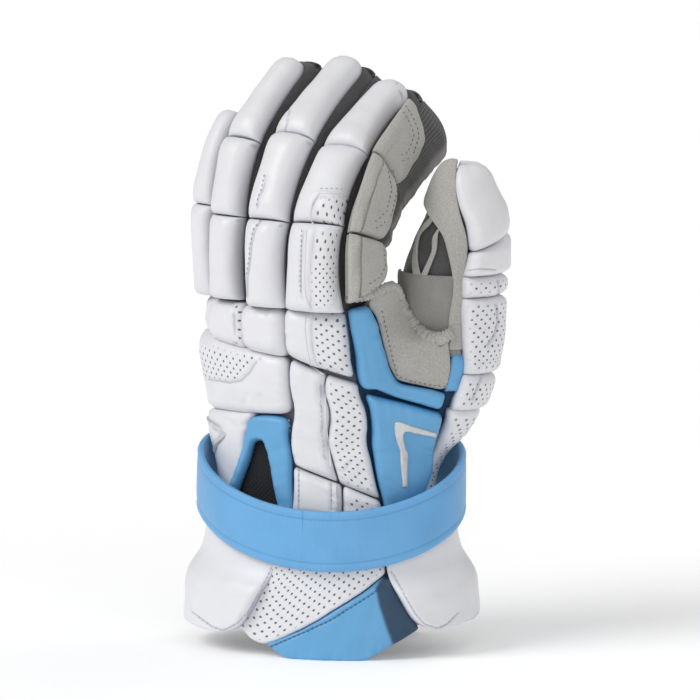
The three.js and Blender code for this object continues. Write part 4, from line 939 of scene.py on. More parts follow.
def pad_shape(
    chart, ribs, thick, lift, roll, corner, columns, rows, clear, finish, marks, seed, wrinkle, tree,
):
    """How a pad's grid lies on a chart."""
    step = CHARTS[chart][2]
    based = chart == "cuff"
    thin = thick < THIN
    sewn_over = finish == "suede" and chart == "hand"
    grow = 0.0 if thin else {"hand": HAND_SPARE, "thumb": THUMB_SPARE, "cuff": CUFF_SPARE}[chart]
    if based and finish not in ("holes", "blue"):
        grow = 0.0
    ribs = np.array([list(r) + [1.0] * ((6 if based else 5) - len(r)) for r in ribs], float)
    fine = np.linspace(0, 1, 241)
    read = read_ribs(ribs, fine)
    middle = np.column_stack([(read[:, 0] + read[:, 2]) / 2 * step, (read[:, 1] + read[:, 3]) / 2])
    run = np.concatenate([[0], np.cumsum(np.linalg.norm(np.diff(middle, axis=0), axis=1))])
    length = run[-1]
    ends = 1.0 if abs(ribs[0][0] - ribs[0][2]) * step > abs(ribs[0][1] - ribs[0][3]) else 0.0

    def shape(a, b, under):
        walk_b, full_b = edge_walk(b, rows, length, roll, roll)
        rib = read_ribs(ribs, np.interp(walk_b * length, run, fine))
        width = np.maximum(1.0, np.hypot((rib[:, 2] - rib[:, 0]) * step, rib[:, 3] - rib[:, 1]))
        walk_a, full_a = edge_walk(a, columns, width, roll, roll)
        turn = np.minimum(corner, np.minimum(width, length) * 0.45)
        side = np.minimum(walk_a, 1 - walk_a) * width
        end = np.minimum(walk_b, 1 - walk_b) * length
        x, y = np.clip(turn - side, 0, None), np.clip(turn - end, 0, None)
        x2 = x * np.sqrt(1 - y**2 / (2 * turn**2))
        y2 = y * np.sqrt(1 - x**2 / (2 * turn**2))
        side, end = side + (x - x2), end + (y - y2)
        walk_a = np.where(walk_a < 0.5, side / width, 1 - side / width)
        walk_b = np.where(walk_b < 0.5, end / length, 1 - end / length)
        rib = read_ribs(ribs, np.interp(walk_b * length, run, fine))
        grown = walk_a + (walk_a - 0.5) * 2 * grow / width
        if sewn_over:
            grown = walk_a - PATCH_SPARE / width * (1 - walk_a)
        q = rib[:, 0] + (rib[:, 2] - rib[:, 0]) * grown
        z = rib[:, 1] + (rib[:, 3] - rib[:, 1]) * grown
        z = z + grow * (smooth(0.15, 0, walk_b) - smooth(0.85, 1, walk_b)) * ends
        share = rib[:, 5] if based else rib[:, 4]
        base = rib[:, 4] if based else clear + lift * share
        if tree is not None:
            base = resting(tree, chart, q, z) - TRIM_SUNK
        ledge = THIN_LEDGE_SHARE if thin else LEDGE_SHARE
        full = full_a * full_b
        height = thick * (1 if thin else share) * (ledge + (1 - ledge) * full)
        u, v = (walk_a - 0.5) * width, (walk_b - 0.5) * length
        inside = smooth(2.2, 3.2, np.minimum(side, end))
        # painted shade: each pad's rolled edge darkens where it turns down into the seam
        masks = {"seam": (1 - full) ** 1.5, "holes": inside if finish == "holes" else 0 * full}
        slack = ripple(seed, u, v, 17) * 0.55 * full
        pucker = ripple(seed + 1, u, v * 0.12, 5.5) * np.exp(-end / 4.0)
        pucker = pucker + ripple(seed + 2, u * 0.12, v, 5.5) * np.exp(-side / 4.0)
        height = height + wrinkle * (slack + 1.1 * pucker * full) * (1 if thin else share)
        height = marked(lifted(chart, q, z, base + height), marks, height, masks)
        height = np.where(under, 0, np.maximum(height, 0.25))
        points = lifted(chart, q, z, base + height)
        if sewn_over:
            points = reach_binding(rib[:, 2], rib[:, 3], walk_a, walk_b, points)
        if finish == "suede" and chart == "thumb":
            points[:, 2] += tip_rise(q, z)
        if based:
            points[:, 2] = np.maximum(points[:, 2], FLOOR)
        return points, np.column_stack([u, v]), masks

    return shape


# Drawn on the front view: groove, ridge and dent are a line, then millimetres deep or high and wide; inset is an
# outline and millimetres sunk, punched inside; holes are an outline, and so is the painted shadow mark, a navy
# shadow
MARKS = {
    "index_pad_middle": [("inset", "316,199 352.8,199 345,231 326,232 315,226 313.5,206", 1.1)],
    "index_pad_base": [
        ("inset", "314,233 311,260 309,280 311,311 323.5,309 336,304 338.5,285 338.5,260 340,233", 1.2),
        ("groove", "303.5,233 301.5,280 302.5,300", 0.7, 0.9),
    ],
    "index_pad_tip": [("groove", "396,84 402,100 403,122", 0.8, 0.9), ("dent", "345,170 362,140", 0.6, 3)],
    "index_knuckle_pad": [
        ("inset", "313.6,314.6 311,327.4 312.6,349.2 316,364 324,372.5 354,377 356,345 352,322 345,309", 1.2),
        ("dent", "288,365 296,371", 0.8, 1.1),
        ("dent", "294,359 303,366", 0.7, 1.1),
    ],
    "middle_pad_tip": [("groove", "290,112 284,140 276,165", 0.7, 0.9)],
    "middle_pad_middle": [
        ("groove", "303,143 313,148", 0.5, 0.8), ("groove", "266,178 264,190 259.5,200 258,212", 0.8, 0.9),
    ],
    "middle_pad_base": [
        ("groove", "280,228 289,225", 0.5, 0.8),
        ("groove", "262,222.4 255.5,231 252,248 251.3,259 248,280 248,297", 0.9, 1.0),
    ],
    "ring_pad_middle": [("groove", "249,143 259,147", 0.5, 0.8), ("groove", "251,147 258,149", 0.4, 0.7)],
    "ring_pad_base": [("groove", "235,223 244,220", 0.5, 0.8)],
    "middle_knuckle_pad": [("dent", "276,351 286,356", 0.8, 1.2), ("dent", "250,350 258,345", 0.7, 1.2)],
    "ring_knuckle_pad": [
        ("holes", "235.5,300 246.4,299 246.4,345 236,345"), ("groove", "233.5,298 234.5,346", 0.7, 0.9),
    ],
    "ulnar_back_pad": [
        ("holes", "208,378 229.6,381 240.5,379 248.4,371 253.3,363 262,357 196,345 190,378"),
        ("groove", "208,379.5 229.6,382.8 241.5,380.6 250,372.4 255,364 262,357", 0.9, 1.0),
        ("dent", "243.6,405 248,395", 0.7, 1.4),
        ("dent", "262,407 260,396", 0.6, 1.4),
        ("dent", "284,412 279,402", 0.7, 1.4),
    ],
    "ulnar_wrist_pad": [("dent", "243.6,424.4 256,419", 0.8, 1.5), ("dent", "228,419 236,428", 0.6, 1.3)],
    "centre_pad_upper": [
        ("groove", "320.5,384.8 322,430 325,458", 0.7, 0.9), ("ridge", "294,384 295,450", 0.4, 1.2),
    ],
    "centre_pad_lower": [("groove", "331,481 331.5,508", 0.7, 0.9), ("groove", "299,467 299,508", 0.6, 0.9)],
    "perforated_pad_upper": [("dent", "358,390 352,398", 0.6, 1.5), ("dent", "345,470 352,462", 0.6, 1.6)],
    "thumb_web_pad": [
        ("ridge", "352,320 358,345 364,368 368,384", 0.5, 2.2),
        ("dent", "374,318 381,350 388,378 402,389 438,398", 1.5, 4.0),
    ],
    "front_corner_panel": [
        ("groove", "268,645.2 304.4,629 329.2,617.5 352.2,603 373.2,589.7 382.8,582", 0.5, 0.8),
        # painted shadow of the radial tab and the fold under it, in navy
        ("tint", "375,584 379,603 386.6,626 392.4,642 424,642 417.2,618.4 402,597.4 388.5,566"),
    ],
    "front_flap": [("dent", "290,590 330,600", 0.5, 6)],
    "ulnar_tab": [("groove", "272,566 260.5,589 249.5,608.5 237.5,621 224,628 213,625 192,611", 0.45, 0.8)],
    "radial_tab": [
        ("groove", "391,568.7 405.5,594.5 414.8,610.5 423.6,620.5 436.4,625 446,621 457.6,610", 0.45, 0.8),
    ],
    "thumb_cap": [("dent", "470,205 490,185", 0.5, 5)],
    "thumb_pad_middle": [("groove", "466,272 480,270 494,271", 0.4, 0.8)],
    "thumb_pad_perforated_1": [("groove", "497,280 498.5,296", 1.0, 1.1)],
    "thumb_pad_perforated_2": [("groove", "496,305 497.5,322 494,335 487,345", 1.2, 1.2)],
    "thumb_pad_perforated_3": [("groove", "483,362 480,380 472,399", 1.1, 1.2)],
}


def build_pads(chart, pads, settings):
    """Every pad of one chart."""
    for seed, (name, (finish, thick, lift, roll, corner, ribs)) in enumerate(pads.items()):
        step = CHARTS[chart][2]
        widths = [math.hypot((r[2] - r[0]) * step, r[3] - r[1]) for r in ribs]
        length = sum(
            math.hypot((r[0] + r[2] - p[0] - p[2]) / 2 * step, (r[1] + r[3] - p[1] - p[3]) / 2)
            for p, r in zip(ribs[:-1], ribs[1:])
        )
        pitch = CELL if thick >= THIN else THIN_CELL
        columns, rows = cells(max(widths), pitch), cells(length, pitch)
        wrinkle = settings["wrinkle"] if finish in ("white", "holes", "blue") else SUEDE_WRINKLE
        tree = surface() if finish == "silver" else None
        shape = pad_shape(
            chart, ribs, thick, lift, roll, corner, columns, rows, 0 if chart == "cuff" else CLEAR,
            finish, MARKS.get(name, ()), 40 + 3 * seed + len(chart), wrinkle, tree,
        )
        piece = cover(name + "_cover", columns, rows, shape, finish, [name])
        if finish == "silver":
            continue


def build_rolls(settings):
    """The foam rolls down the back of each finger."""
    for seed, (finger, part, start_key, end_key, left0, right0, left1, right1, base, crown) in enumerate(ROLLS):
        sizes = FINGERS[finger]
        start_s, end_s = sizes[start_key] + 0.15, sizes[end_key] - 0.15
        length, tip = end_s - start_s, end_key == "tip"
        width = max(right0 - left0, right1 - left1)
        columns, rows = int(round(width * 1.5 / CELL)), cells(length)

        def shape(a, b, under):
            walk, full = edge_walk(b, rows, length, 5.0, 9.0 if tip else 5.0)
            middle = (left0 + right0) / 2 * (1 - walk) + (left1 + right1) / 2 * walk
            half = (right0 - left0) / 2 * (1 - walk) + (right1 - left1) / 2 * walk
            if tip:
                half = half * (1 + 0.03 * np.sin(math.pi * walk))
                half = half * np.sqrt(1 - 0.62 * np.clip((walk - 0.84) / 0.16, 0, 1) ** 2)
            half = half * (1 + 0.035 * (1 - full))
            waist = np.where(a > 0.5, (0.2 if tip else 0.12) * np.sin(math.pi * walk), 0)
            turn = (a - 0.5) * math.pi
            across = middle + half * (1 - waist) * np.sign(np.sin(turn)) * np.abs(np.sin(turn)) ** 0.82
            arch = np.abs(np.cos(turn)) ** 0.75
            pinch = 0.45 if not tip else np.where(walk > 0.5, 0.25, 0.45)
            tall = (crown - base - 1.8) * (pinch + (1 - pinch) * full)
            u, v = (a - 0.5) * (2 * half + 10), walk * length
            end = np.minimum(walk, 1 - walk) * length
            slack = ripple(300 + seed, u, v, 18) * 0.6
            pucker = ripple(400 + seed, u, v * 0.15, 6) * np.exp(-end / 3.5) * 1.1
            tall = tall + settings["wrinkle"] * (slack + pucker) * full
            # painted shade along the rolled ends and down both sides of the roll
            masks = {"seam": np.maximum((1 - full) ** 1.5, 0.7 * (1 - arch) ** 2), "holes": 0.0 * a}
            s = start_s + length * walk
            top = on_finger(finger, across, base + 1.8 + tall * arch, s)
            tall = marked(top, MARKS.get(f"{finger}_pad_{part}", ()), tall, masks)
            top = on_finger(finger, across, base + 1.8 + tall * arch, s)
            low = on_finger(finger, across * 0.97, np.full(len(a), float(base)), s)
            return np.where(under[:, None], low, top), np.column_stack([u, v]), masks

        piece = cover(f"{finger}_pad_{part}_cover", columns, rows, shape, "white", [f"{finger}_pad_{part}"])


def build_gussets(settings):
    """Suede side pads of the index finger, scalloped along the palm edge."""
    for seed, (part, start_s, end_s, scale0, scale1) in enumerate(GUSSETS):
        length = end_s - start_s
        columns, rows = 52, cells(length, 1.0)

        def shape(a, b, under):
            walk, full = edge_walk(b, rows, length, 3.0, 3.0)
            across = 0.5 - 0.5 * np.cos(math.pi * a)
            across = 0.55 * across + 0.45 * a
            rib = read_ribs(GUSSET, across)
            scale = scale0 + (scale1 - scale0) * walk
            drop = np.clip((across - 0.5) / 0.5, 0, 1) ** 1.5 * SCALLOP * np.abs(2 * walk - 1) ** 2.6
            slant = (1 - walk) * 8 * (0.5 - across) if part == "base" else 0 * walk
            edge = np.sin(np.clip(np.minimum(a, 1 - a) / 0.10, 0, 1) * math.pi / 2)
            pull = 1 - (1 - 0.42 * (1 - full)) * (0.35 + 0.65 * edge)
            x = rib[:, 0] + (rib[:, 2] - rib[:, 0]) * pull
            y = rib[:, 1] + (rib[:, 3] - rib[:, 1]) * pull * 0.6
            x = x + settings["wrinkle"] * 0.8 * ripple(500 + seed, across * 40, walk * length, 14) * full * edge
            x = np.where(under, rib[:, 2], x)
            y = np.where(under, rib[:, 3], y) + drop
            scale_y = np.where(across < 0.3, 1, scale)
            s = start_s + length * walk - slant
            points = on_finger("index", x * scale, y * scale_y, s)
            # painted shade along the gusset's rolled edges
            masks = {"seam": np.maximum((1 - full) ** 1.5, (1 - edge) ** 1.5)}
            return points, np.column_stack([across * 45, walk * length]), masks

        piece = cover(f"index_gusset_{part}_cover", columns, rows, shape, "suede", [f"index_gusset_{part}"])


def build_strap(settings):
    """The padded wrist band: a ring that dips at the front and rises behind."""
    columns, rows = 300, 44

    def shape(a, b, under):
        q = 360 * a
        front = np.cos(np.radians(q - STRAP_LOW))
        middle = STRAP_MIDDLE - STRAP_DIP * front - STRAP_EXTRA * np.abs(front) ** 1.5
        turn = math.tau * b
        up = np.sign(np.sin(turn)) * np.abs(np.sin(turn)) ** 0.55
        out = 0.5 + 0.5 * np.sign(np.cos(turn)) * np.abs(np.cos(turn)) ** 0.6
        face = np.cos(turn) > 0
        rim = np.exp(-(((np.abs(up) - 0.86) / 0.07) ** 2))
        rim = rim - 0.9 * np.exp(-(((np.abs(up) - 0.72) / 0.05) ** 2))
        height = 5.0 + 4.5 * out + np.where(face, 0.42 * rim, 0)
        height = height + np.where(face, 0.5 * ripple(77, q * 1.1, up * 8, 42), 0)
        points = lifted("cuff", q, middle, height)
        points[:, 2] += STRAP_HALF * up
        # painted shade in the stitch groove and along the rounded top and bottom edges
        seam = np.exp(-(((np.abs(up) - 0.74) / 0.04) ** 2)) * face + smooth(0.97, 1.0, np.abs(up)) * 0.6
        return points, np.column_stack([q * 1.2, up * STRAP_HALF]), {"seam": np.clip(seam, 0, 1)}

    piece = cover("wrist_strap_cover", columns, rows, shape, "strap", ["wrist_strap"], closed=False, weld=True)


def build_binding(settings):
    """The crinkled suede binding round the web of the thumb."""
    columns, rows = 18, 260
    fine = np.linspace(0, 1, 801)
    path = read_ribs(BINDING, fine)
    run = np.concatenate([[0], np.cumsum(np.linalg.norm(np.diff(path, axis=0), axis=1))])

    def shape(a, b, under):
        along = b * run[-1]
        t = np.interp(along, run, fine)
        at = read_ribs(BINDING, t)
        line = read_ribs(BINDING, np.clip(t + 0.003, 0, 1)) - read_ribs(BINDING, np.clip(t - 0.003, 0, 1))
        line /= np.linalg.norm(line, axis=1)[:, None]
        side = np.cross(line, VIEW_BACK)
        side /= np.linalg.norm(side, axis=1)[:, None]
        up = np.cross(side, line)
        turn = math.tau * a
        gather = np.sin(along * math.tau / 2.6 + 1.6 * np.sin(along * 0.7) + 0.8 * np.sin(turn)) * 0.11
        gather = gather + 0.10 * ripple(91, along, turn * 2, 5)
        end = np.sin(np.clip(np.minimum(b, 1 - b) / 0.012, 0, 1) * math.pi / 2)
        radius = BINDING_RADIUS * (0.8 + 0.3 * smooth(0.35, 0.7, b)) * (1 + gather) * end
        points = at + radius[:, None] * (np.cos(turn)[:, None] * side * 1.05 + np.sin(turn)[:, None] * up * 0.95)
        # painted shade in the valleys of the gathers
        return points, np.column_stack([turn * 2.4, along]), {"seam": np.clip(0.3 - 2.5 * gather, 0, 1)}

    piece = cover("web_binding_cover", columns, rows, shape, "suede", ["web_binding"], closed=False, weld=True)


def stall_ring(finger, s, extra):
    """Corners of a stall's section at one place along the finger."""
    f = FINGERS[finger]
    grown = min(1, max(0, (s - f["joint2"] + 32) / 32))
    near = max(0, s - f["end"] - STALL_RISE[finger] + 14) / 14
    close = math.sqrt(max(0.0, 1 - near**2))
    narrow = 1 - 0.16 * max(0, (s - f["joint3"]) / (f["tip"] - f["joint3"]))
    high = f["back"]
    deep = f["palm"] - f["deep"] * grown
    half = f["half"] * narrow
    swell = (f["swell"] + extra * smooth(f["joint3"] - 30, f["joint3"] + 20, s)) * grown
    ring = [
        [0.95 * half, high - 7], [0.6 * half, high], [-0.6 * half, high], [-0.95 * half, high - 7], [-half, -5],
        [-0.85 * half, deep + 6], [-0.35 * half, deep], [0.4 * half + 0.8 * swell, deep],
        [0.9 * half + swell, deep + 6], [0.93 * half + swell, -5 if finger != "index" else -9],
    ]
    core = np.array([0.35 * swell, (high + deep) / 2 + 3])
    return core + (np.array(ring, float) - core) * close


def round_ring(ring, share):
    """A closed flowing line through a ring of corners."""
    ring = np.asarray(ring, float)
    count = len(ring)
    place = share * count
    i = np.floor(place).astype(int)
    t = (place - i)[:, None]
    p0, p1, p2, p3 = (ring[(i + k) % count] for k in (-1, 0, 1, 2))
    bend = (-p0 + p2) * t + (2 * p0 - 5 * p1 + 4 * p2 - p3) * t**2 + (-p0 + 3 * p1 - 3 * p2 + p3) * t**3
    return p1 + 0.5 * bend


def add_wall(piece):
    """Give a stall the thickness of its cloth, inwards."""
    wall = piece.modifiers.new("wall", "SOLIDIFY")
    wall.thickness = STALL_WALL
    wall.offset = -1


def build_stalls(settings):
    """The finger and thumb stalls: stretch mesh outside, suede on the palm side."""
    for seed, (finger, f) in enumerate(FINGERS.items()):
        columns, rows = 64, 110
        bottom = 41.0 if finger != "little" else 40.8

        def shape(a, b, under):
            points = np.zeros((len(a), 3))
            s_all = bottom + (f["end"] + STALL_RISE[finger] - bottom) * (1 - (1 - b) ** 1.35)
            for level in np.unique(np.round(b, 6)):
                at = np.abs(b - level) < 2e-6
                s = s_all[at][0]
                flat = round_ring(stall_ring(finger, s, STALL_EXTRA[finger]), a[at])
                folds = 1 + 0.018 * ripple(600 + seed, a[at] * 40, s, 20)
                folds = folds + 0.01 * ripple(620 + seed, a[at] * 60, s, 7)
                points[at] = on_finger(finger, flat[:, 0] * folds, flat[:, 1] * folds, np.full(at.sum(), s))
            points[:, 2] = np.maximum(points[:, 2], HAND_TOP + 0.3)
            turn = a * 10
            palm = smooth(4.7, 5.0, turn) * smooth(8.6, 8.3, turn)
            palm = palm * smooth(f["end"] + 2, f["end"] - 10, s_all)
            girth = 2.6 * (f["half"] + 12)
            return points, np.column_stack([a * girth, s_all]), {"palm": palm, "seam": 0 * a}

        piece = cover(
            f"{finger}_stall_cover", columns, rows, shape, "mesh", [f"{finger}_stall"], closed=False, weld=True,
        )
        add_wall(piece)

    def thumb(a, b, under):
        z = THUMB_STALL[0] + (THUMB_STALL[1] - THUMB_STALL[0]) * (1 - (1 - b) ** 1.4)
        q = 360 * a
        points = lifted("thumb", q, z, 0.5 * ripple(650, q * 0.4, z, 16) * smooth(262, 250, z))
        points[:, 2] += tip_rise(q, z)
        last = read_track(THUMB, THUMB_STALL[1:] * np.ones(1))[0]
        end = smooth(0.985, 1.0, b)[:, None]
        middle = np.array([
            last[1] * math.cos(SIDE_TURN) + last[2] * math.sin(SIDE_TURN),
            last[1] * math.sin(SIDE_TURN) - last[2] * math.cos(SIDE_TURN), THUMB_STALL[1] + 0.5,
        ])
        points = points * (1 - end) + middle * end
        palm = smooth(150, 160, q) * smooth(305, 295, q)
        return points, np.column_stack([q * 0.33, z]), {"palm": palm, "seam": 0 * a}

    piece = cover("thumb_stall_cover", 96, 90, thumb, "mesh", ["thumb_stall"], closed=False, weld=True)
    add_wall(piece)


def split_ways():
    """Where the seam between back and palm crosses the sleeve at each level: left and right q."""
    normal = np.array([-SPLIT_LINE[1], SPLIT_LINE[0]])
    found = []
    for n in range(len(HAND_LEVELS)):
        q0, q1 = HAND_AROUND[n]
        ways = np.linspace(q0, q1, 700)
        flat = hand_flat(ways, np.full(700, HAND_LEVELS[n]))[:, :2]
        behind = np.where((flat - SPLIT_A) @ normal > 0)[0]
        found.append((ways[behind[ways[behind] < 0][-1]], ways[behind[ways[behind] > 0][0]]))
    return np.array(found)


def build_sleeves(settings):
    """The lining of the back and the leather of the palm, one shell each, closed over the knuckles."""
    ways = split_ways()
    for name, side in (("back_liner", 0), ("palm_leather", 1)):
        columns, rows = 120, 130

        def shape(a, b, under):
            rise = np.clip(b / SLEEVE_SIDE, 0, 1)
            lid = np.clip((b - SLEEVE_SIDE) / (1 - SLEEVE_SIDE), 0, 1)
            z = HAND_HEM + (HAND_TOP - HAND_HEM) * rise
            left = np.interp(z, HAND_LEVELS, ways[:, 0])
            right = np.interp(z, HAND_LEVELS, ways[:, 1])
            total = np.interp(z, HAND_LEVELS, HAND_AROUND[:, 1] - HAND_AROUND[:, 0])
            start_q = (left if side == 0 else right) + 0.2
            end_q = (right if side == 0 else left + total) - 0.2
            q = start_q + (end_q - start_q) * a
            folds = 0.0 * a
            if side:
                folds = ripple(700, q, z * 0.5, 16) + 0.5 * ripple(701, q * 0.4, z, 8)
                folds = settings["wrinkle"] * 1.2 * folds
                folds = folds * smooth(0, 0.04, a) * smooth(1, 0.96, a) * (1 - lid)
            points = lifted("hand", q, z, np.where(under, -SHELL, folds))
            on_line = SPLIT_A + ((points[:, :2] - SPLIT_A) @ SPLIT_LINE)[:, None] * SPLIT_LINE
            points[:, :2] = points[:, :2] * (1 - lid[:, None]) + on_line * lid[:, None]
            points[:, 2] = z - np.where(under, SHELL * smooth(0.80, 0.88, b), 0)
            if side:
                hidden = smooth(0.2, 0.14, a) * smooth(170, 160, z)
            else:
                hidden = smooth(0.8, -0.8, q - np.interp(z, PALE_UNTIL[:, 0], PALE_UNTIL[:, 1]))
            return points, np.column_stack([q, z]), {"seam": 0 * a, "palm": hidden}

        piece = cover(name + "_cover", columns, rows, shape, "liner" if side == 0 else "palm", [name])


# Stitches and piping. The drawing stands off by so many millimetres; a bead is left out where two places on the
# glove are less or more than so many metres apart, and stands up by so many metres
DRAWING_STANDS_OFF = 400
LEAST_STEP = 0.0004
MOST_STEP = 0.006
BEAD_LIFT = 0.0002


def surface():
    """One search tree over every covered piece."""
    points, faces, count = [], [], 0
    for piece in COVERS:
        mesh = piece.data
        points.extend(v.co.copy() for v in mesh.vertices)
        faces.extend([i + count for i in p.vertices] for p in mesh.polygons)
        count += len(mesh.vertices)
    return BVHTree.FromPolygons(points, faces)


def traced(tree, line, pitch):
    """Places and normals on the glove under a drawn line, evenly spaced."""
    line = corners(line)
    run = np.concatenate([[0], np.cumsum(np.linalg.norm(np.diff(line, axis=0), axis=1))]) * VIEW_UNIT
    found = []
    for at in np.arange(0, run[-1] + 1e-6, pitch):
        x, y = np.interp(at, run, line[:, 0]), np.interp(at, run, line[:, 1])
        drawn = VIEW_RIGHT * (x - VIEW_ZERO[0]) + VIEW_UP * (VIEW_ZERO[1] - y)
        point = drawn * VIEW_UNIT + VIEW_BACK * DRAWING_STANDS_OFF
        hit, normal, _, _ = tree.ray_cast(Vector((point + OFFSET) / 1000), Vector(-VIEW_BACK))
        if hit is not None:
            found.append((hit, normal))
    return found


def stitch(name, finish, runs, length=1.7, radius=0.32):
    """Rows of thread beads, joined in one mesh."""
    bm = bmesh.new()
    for run in runs:
        for (place, normal), (after, _) in zip(run[:-1], run[1:]):
            line = after - place
            if not LEAST_STEP < line.length < MOST_STEP:
                continue
            line.normalize()
            side = line.cross(normal).normalized()
            matrix = bead_matrix(line, side, side.cross(line), place + normal * BEAD_LIFT, length, radius)
            bmesh.ops.create_icosphere(bm, subdivisions=1, radius=0.001, matrix=matrix)
    mesh = bpy.data.meshes.new(name)
    bm.to_mesh(mesh)
    bm.free()
    add_plain_masks(mesh)
    return settle(name, mesh, finish, trace=False)


def bead_matrix(line, side, up, place, length, radius):
    """A bead's frame: long along the seam, thin across."""
    from_axes = [[line[i] * length / 2, side[i] * radius, up[i] * radius, place[i]] for i in range(3)]
    return Matrix(from_axes + [[0, 0, 0, 1]])


def add_plain_masks(mesh):
    """Empty masks and a cloth map, so that every finish reads the same names."""
    if "cloth" not in mesh.uv_layers:
        mesh.uv_layers.new(name="cloth")
    for key in ("seam", "holes", "palm"):
        if key not in mesh.attributes:
            mesh.attributes.new(key, "FLOAT", "POINT")


def cord_along(name, finish, runs, radius, lift):
    """Thin rolled edges laid along traced lines, joined in one mesh."""
    curve = bpy.data.curves.new(name, "CURVE")
    curve.dimensions = "3D"
    curve.bevel_depth = radius / 1000
    curve.bevel_resolution = 2
    curve.use_fill_caps = True
    for run in runs:
        if len(run) < 2:
            continue
        spline = curve.splines.new("POLY")
        spline.points.add(len(run) - 1)
        for knot, (place, normal) in zip(spline.points, run):
            knot.co = (*(place + normal * lift / 1000), 1)
    holder = bpy.data.objects.new(name, curve)
    bpy.context.scene.collection.objects.link(holder)
    bpy.context.view_layer.update()
    mesh = bpy.data.meshes.new_from_object(holder)
    bpy.data.objects.remove(holder)
    mesh.name = name
    add_plain_masks(mesh)
    return settle(name, mesh, finish, trace=False)


# Rows of thread and rolled edges, drawn on the front view
STITCHES = {
    "white": [
        "322,191.5 349,191.5", "265,178 263,190 258.8,200 257.4,212",
        "260.9,223 254.6,231 251,248 250.3,259 247,280 247,296", "302.5,233 300.5,280 301.5,298",
        "320.5,386 322,430 325,458", "331,483 331.5,506", "299,469 299,505", "289.5,420 291,436 292.6,452",
        "272,566 260.5,589 249.5,608.5 237.5,621 224,628 213,625 192,611",
        "391,568.7 405.5,594.5 414.8,610.5 423.6,620.5 436.4,625 446,621 457.6,610",
    ],
    "navy": ["268,645.2 304.4,629 329.2,617.5 352.2,603 373.2,589.7 382.8,582"],
    "grey": [
        "405.4,108.8 412.4,120 416.6,129.8 418.4,138.2 411.4,159 396,165.5",
        "400.4,111 407.4,122 411.6,131 413,138.2 407,154.5 393,161",
        "392.8,174 396.4,191.5 391,216 381.5,227 371.7,232.6",
        "387.6,175 391,191.5 386,213 377.5,222 368.5,228", "388,246 390.4,270 383,284 366,294.5",
        "382.8,247 385,268 378.5,279 363.5,289",
        (
            "381.7,312.5 387.4,337.4 392.2,359.4 397,375.7 409.4,380.4 430.4,384.8 445.8,386.2 449.6,370.9 "
            "450.5,355.6 445.5,343"
        ),
    ],
}
PIPING = [
    "344,195.7 319.8,195.7 312.8,205.6 310.7,216.8 314.2,228", "307,233 305.8,260 305.2,280 306,296 309.7,308",
    "306,317.6 305.4,329.4 307.7,349.2 311.7,366 323.5,374.4", "325,384 326,424.4 329.6,454 331,466",
    "335.5,484 337,506",
]


def build_stitches(settings):
    """Every row of thread and the piping, laid on the finished pieces."""
    tree = surface()
    for key, finish in (("white", "thread"), ("navy", "navy_thread"), ("grey", "grey_thread")):
        runs = [traced(tree, line, settings["stitch_pitch"]) for line in STITCHES[key]]
        stitch(f"{key}_stitching", finish, runs)
    cord_along("white_piping", "white", [traced(tree, line, 0.8) for line in PIPING], 0.55, 0.1)


# Stage
def build_stage(settings):
    """Paper floor, soft studio lights and a long lens at the drawing's angle."""
    bm = bmesh.new()
    bmesh.ops.create_circle(bm, cap_ends=True, segments=96, radius=6.0)
    mesh = bpy.data.meshes.new("studio_floor")
    bm.to_mesh(mesh)
    bm.free()
    add_plain_masks(mesh)
    floor = bpy.data.objects.new("studio_floor", mesh)
    mesh.materials.append(MADE["floor"])
    bpy.context.scene.collection.objects.link(floor)
    scene = bpy.context.scene
    scene.view_settings.view_transform = "Standard"
    world = bpy.data.worlds.new("Studio light")
    scene.world = world
    world.use_nodes = True
    tree = world.node_tree
    soft = tree.nodes["Background"]
    soft.inputs["Color"].default_value = (1, 1, 1, 1)
    soft.inputs["Strength"].default_value = settings["fill_light"]
    white = add_node(tree, "Background", {"Color": (1, 1, 1, 1), "Strength": 1.0})
    seen_straight = add_node(tree, "LightPath", out="Is Camera Ray")
    both = add_node(tree, "MixShader", {0: seen_straight, 1: soft.outputs[0], 2: white})
    feed(tree.nodes["World Output"], {"Surface": both})
    lamps = (("key", -62, 42, 1.0, 35), ("front", 12, 20, 0.32, 60), ("rim", 120, 45, 0.25, 50))
    for name, turn, rise, share, width in lamps:
        lamp = bpy.data.lights.new(name, "SUN")
        lamp.angle = math.radians(width)
        lamp.energy = settings["key_light"] * share
        holder = bpy.data.objects.new(name, lamp)
        angle, tilt = VIEW_TURN + math.radians(turn), math.radians(rise)
        way = Vector((math.sin(angle) * math.cos(tilt), -math.cos(angle) * math.cos(tilt), math.sin(tilt)))
        holder.rotation_euler = (-way).to_track_quat("-Z", "Y").to_euler()
        scene.collection.objects.link(holder)
    camera = bpy.data.cameras.new("long_lens")
    camera.sensor_width = 36
    far = settings["camera_distance"]
    camera.lens = 36 * far / (VIEW_SIZE * VIEW_UNIT / 1000)
    camera.clip_start, camera.clip_end = 0.1, 50
    holder = bpy.data.objects.new("long_lens", camera)
    middle = VIEW_RIGHT * (VIEW_SIZE / 2 - VIEW_ZERO[0]) + VIEW_UP * (VIEW_ZERO[1] - VIEW_SIZE / 2)
    target = Vector((middle * VIEW_UNIT + OFFSET) / 1000)
    holder.location = target + Vector(VIEW_BACK) * far
    holder.rotation_euler = (-Vector(VIEW_BACK)).to_track_quat("-Z", "Y").to_euler()
    scene.collection.objects.link(holder)
    scene.camera = holder


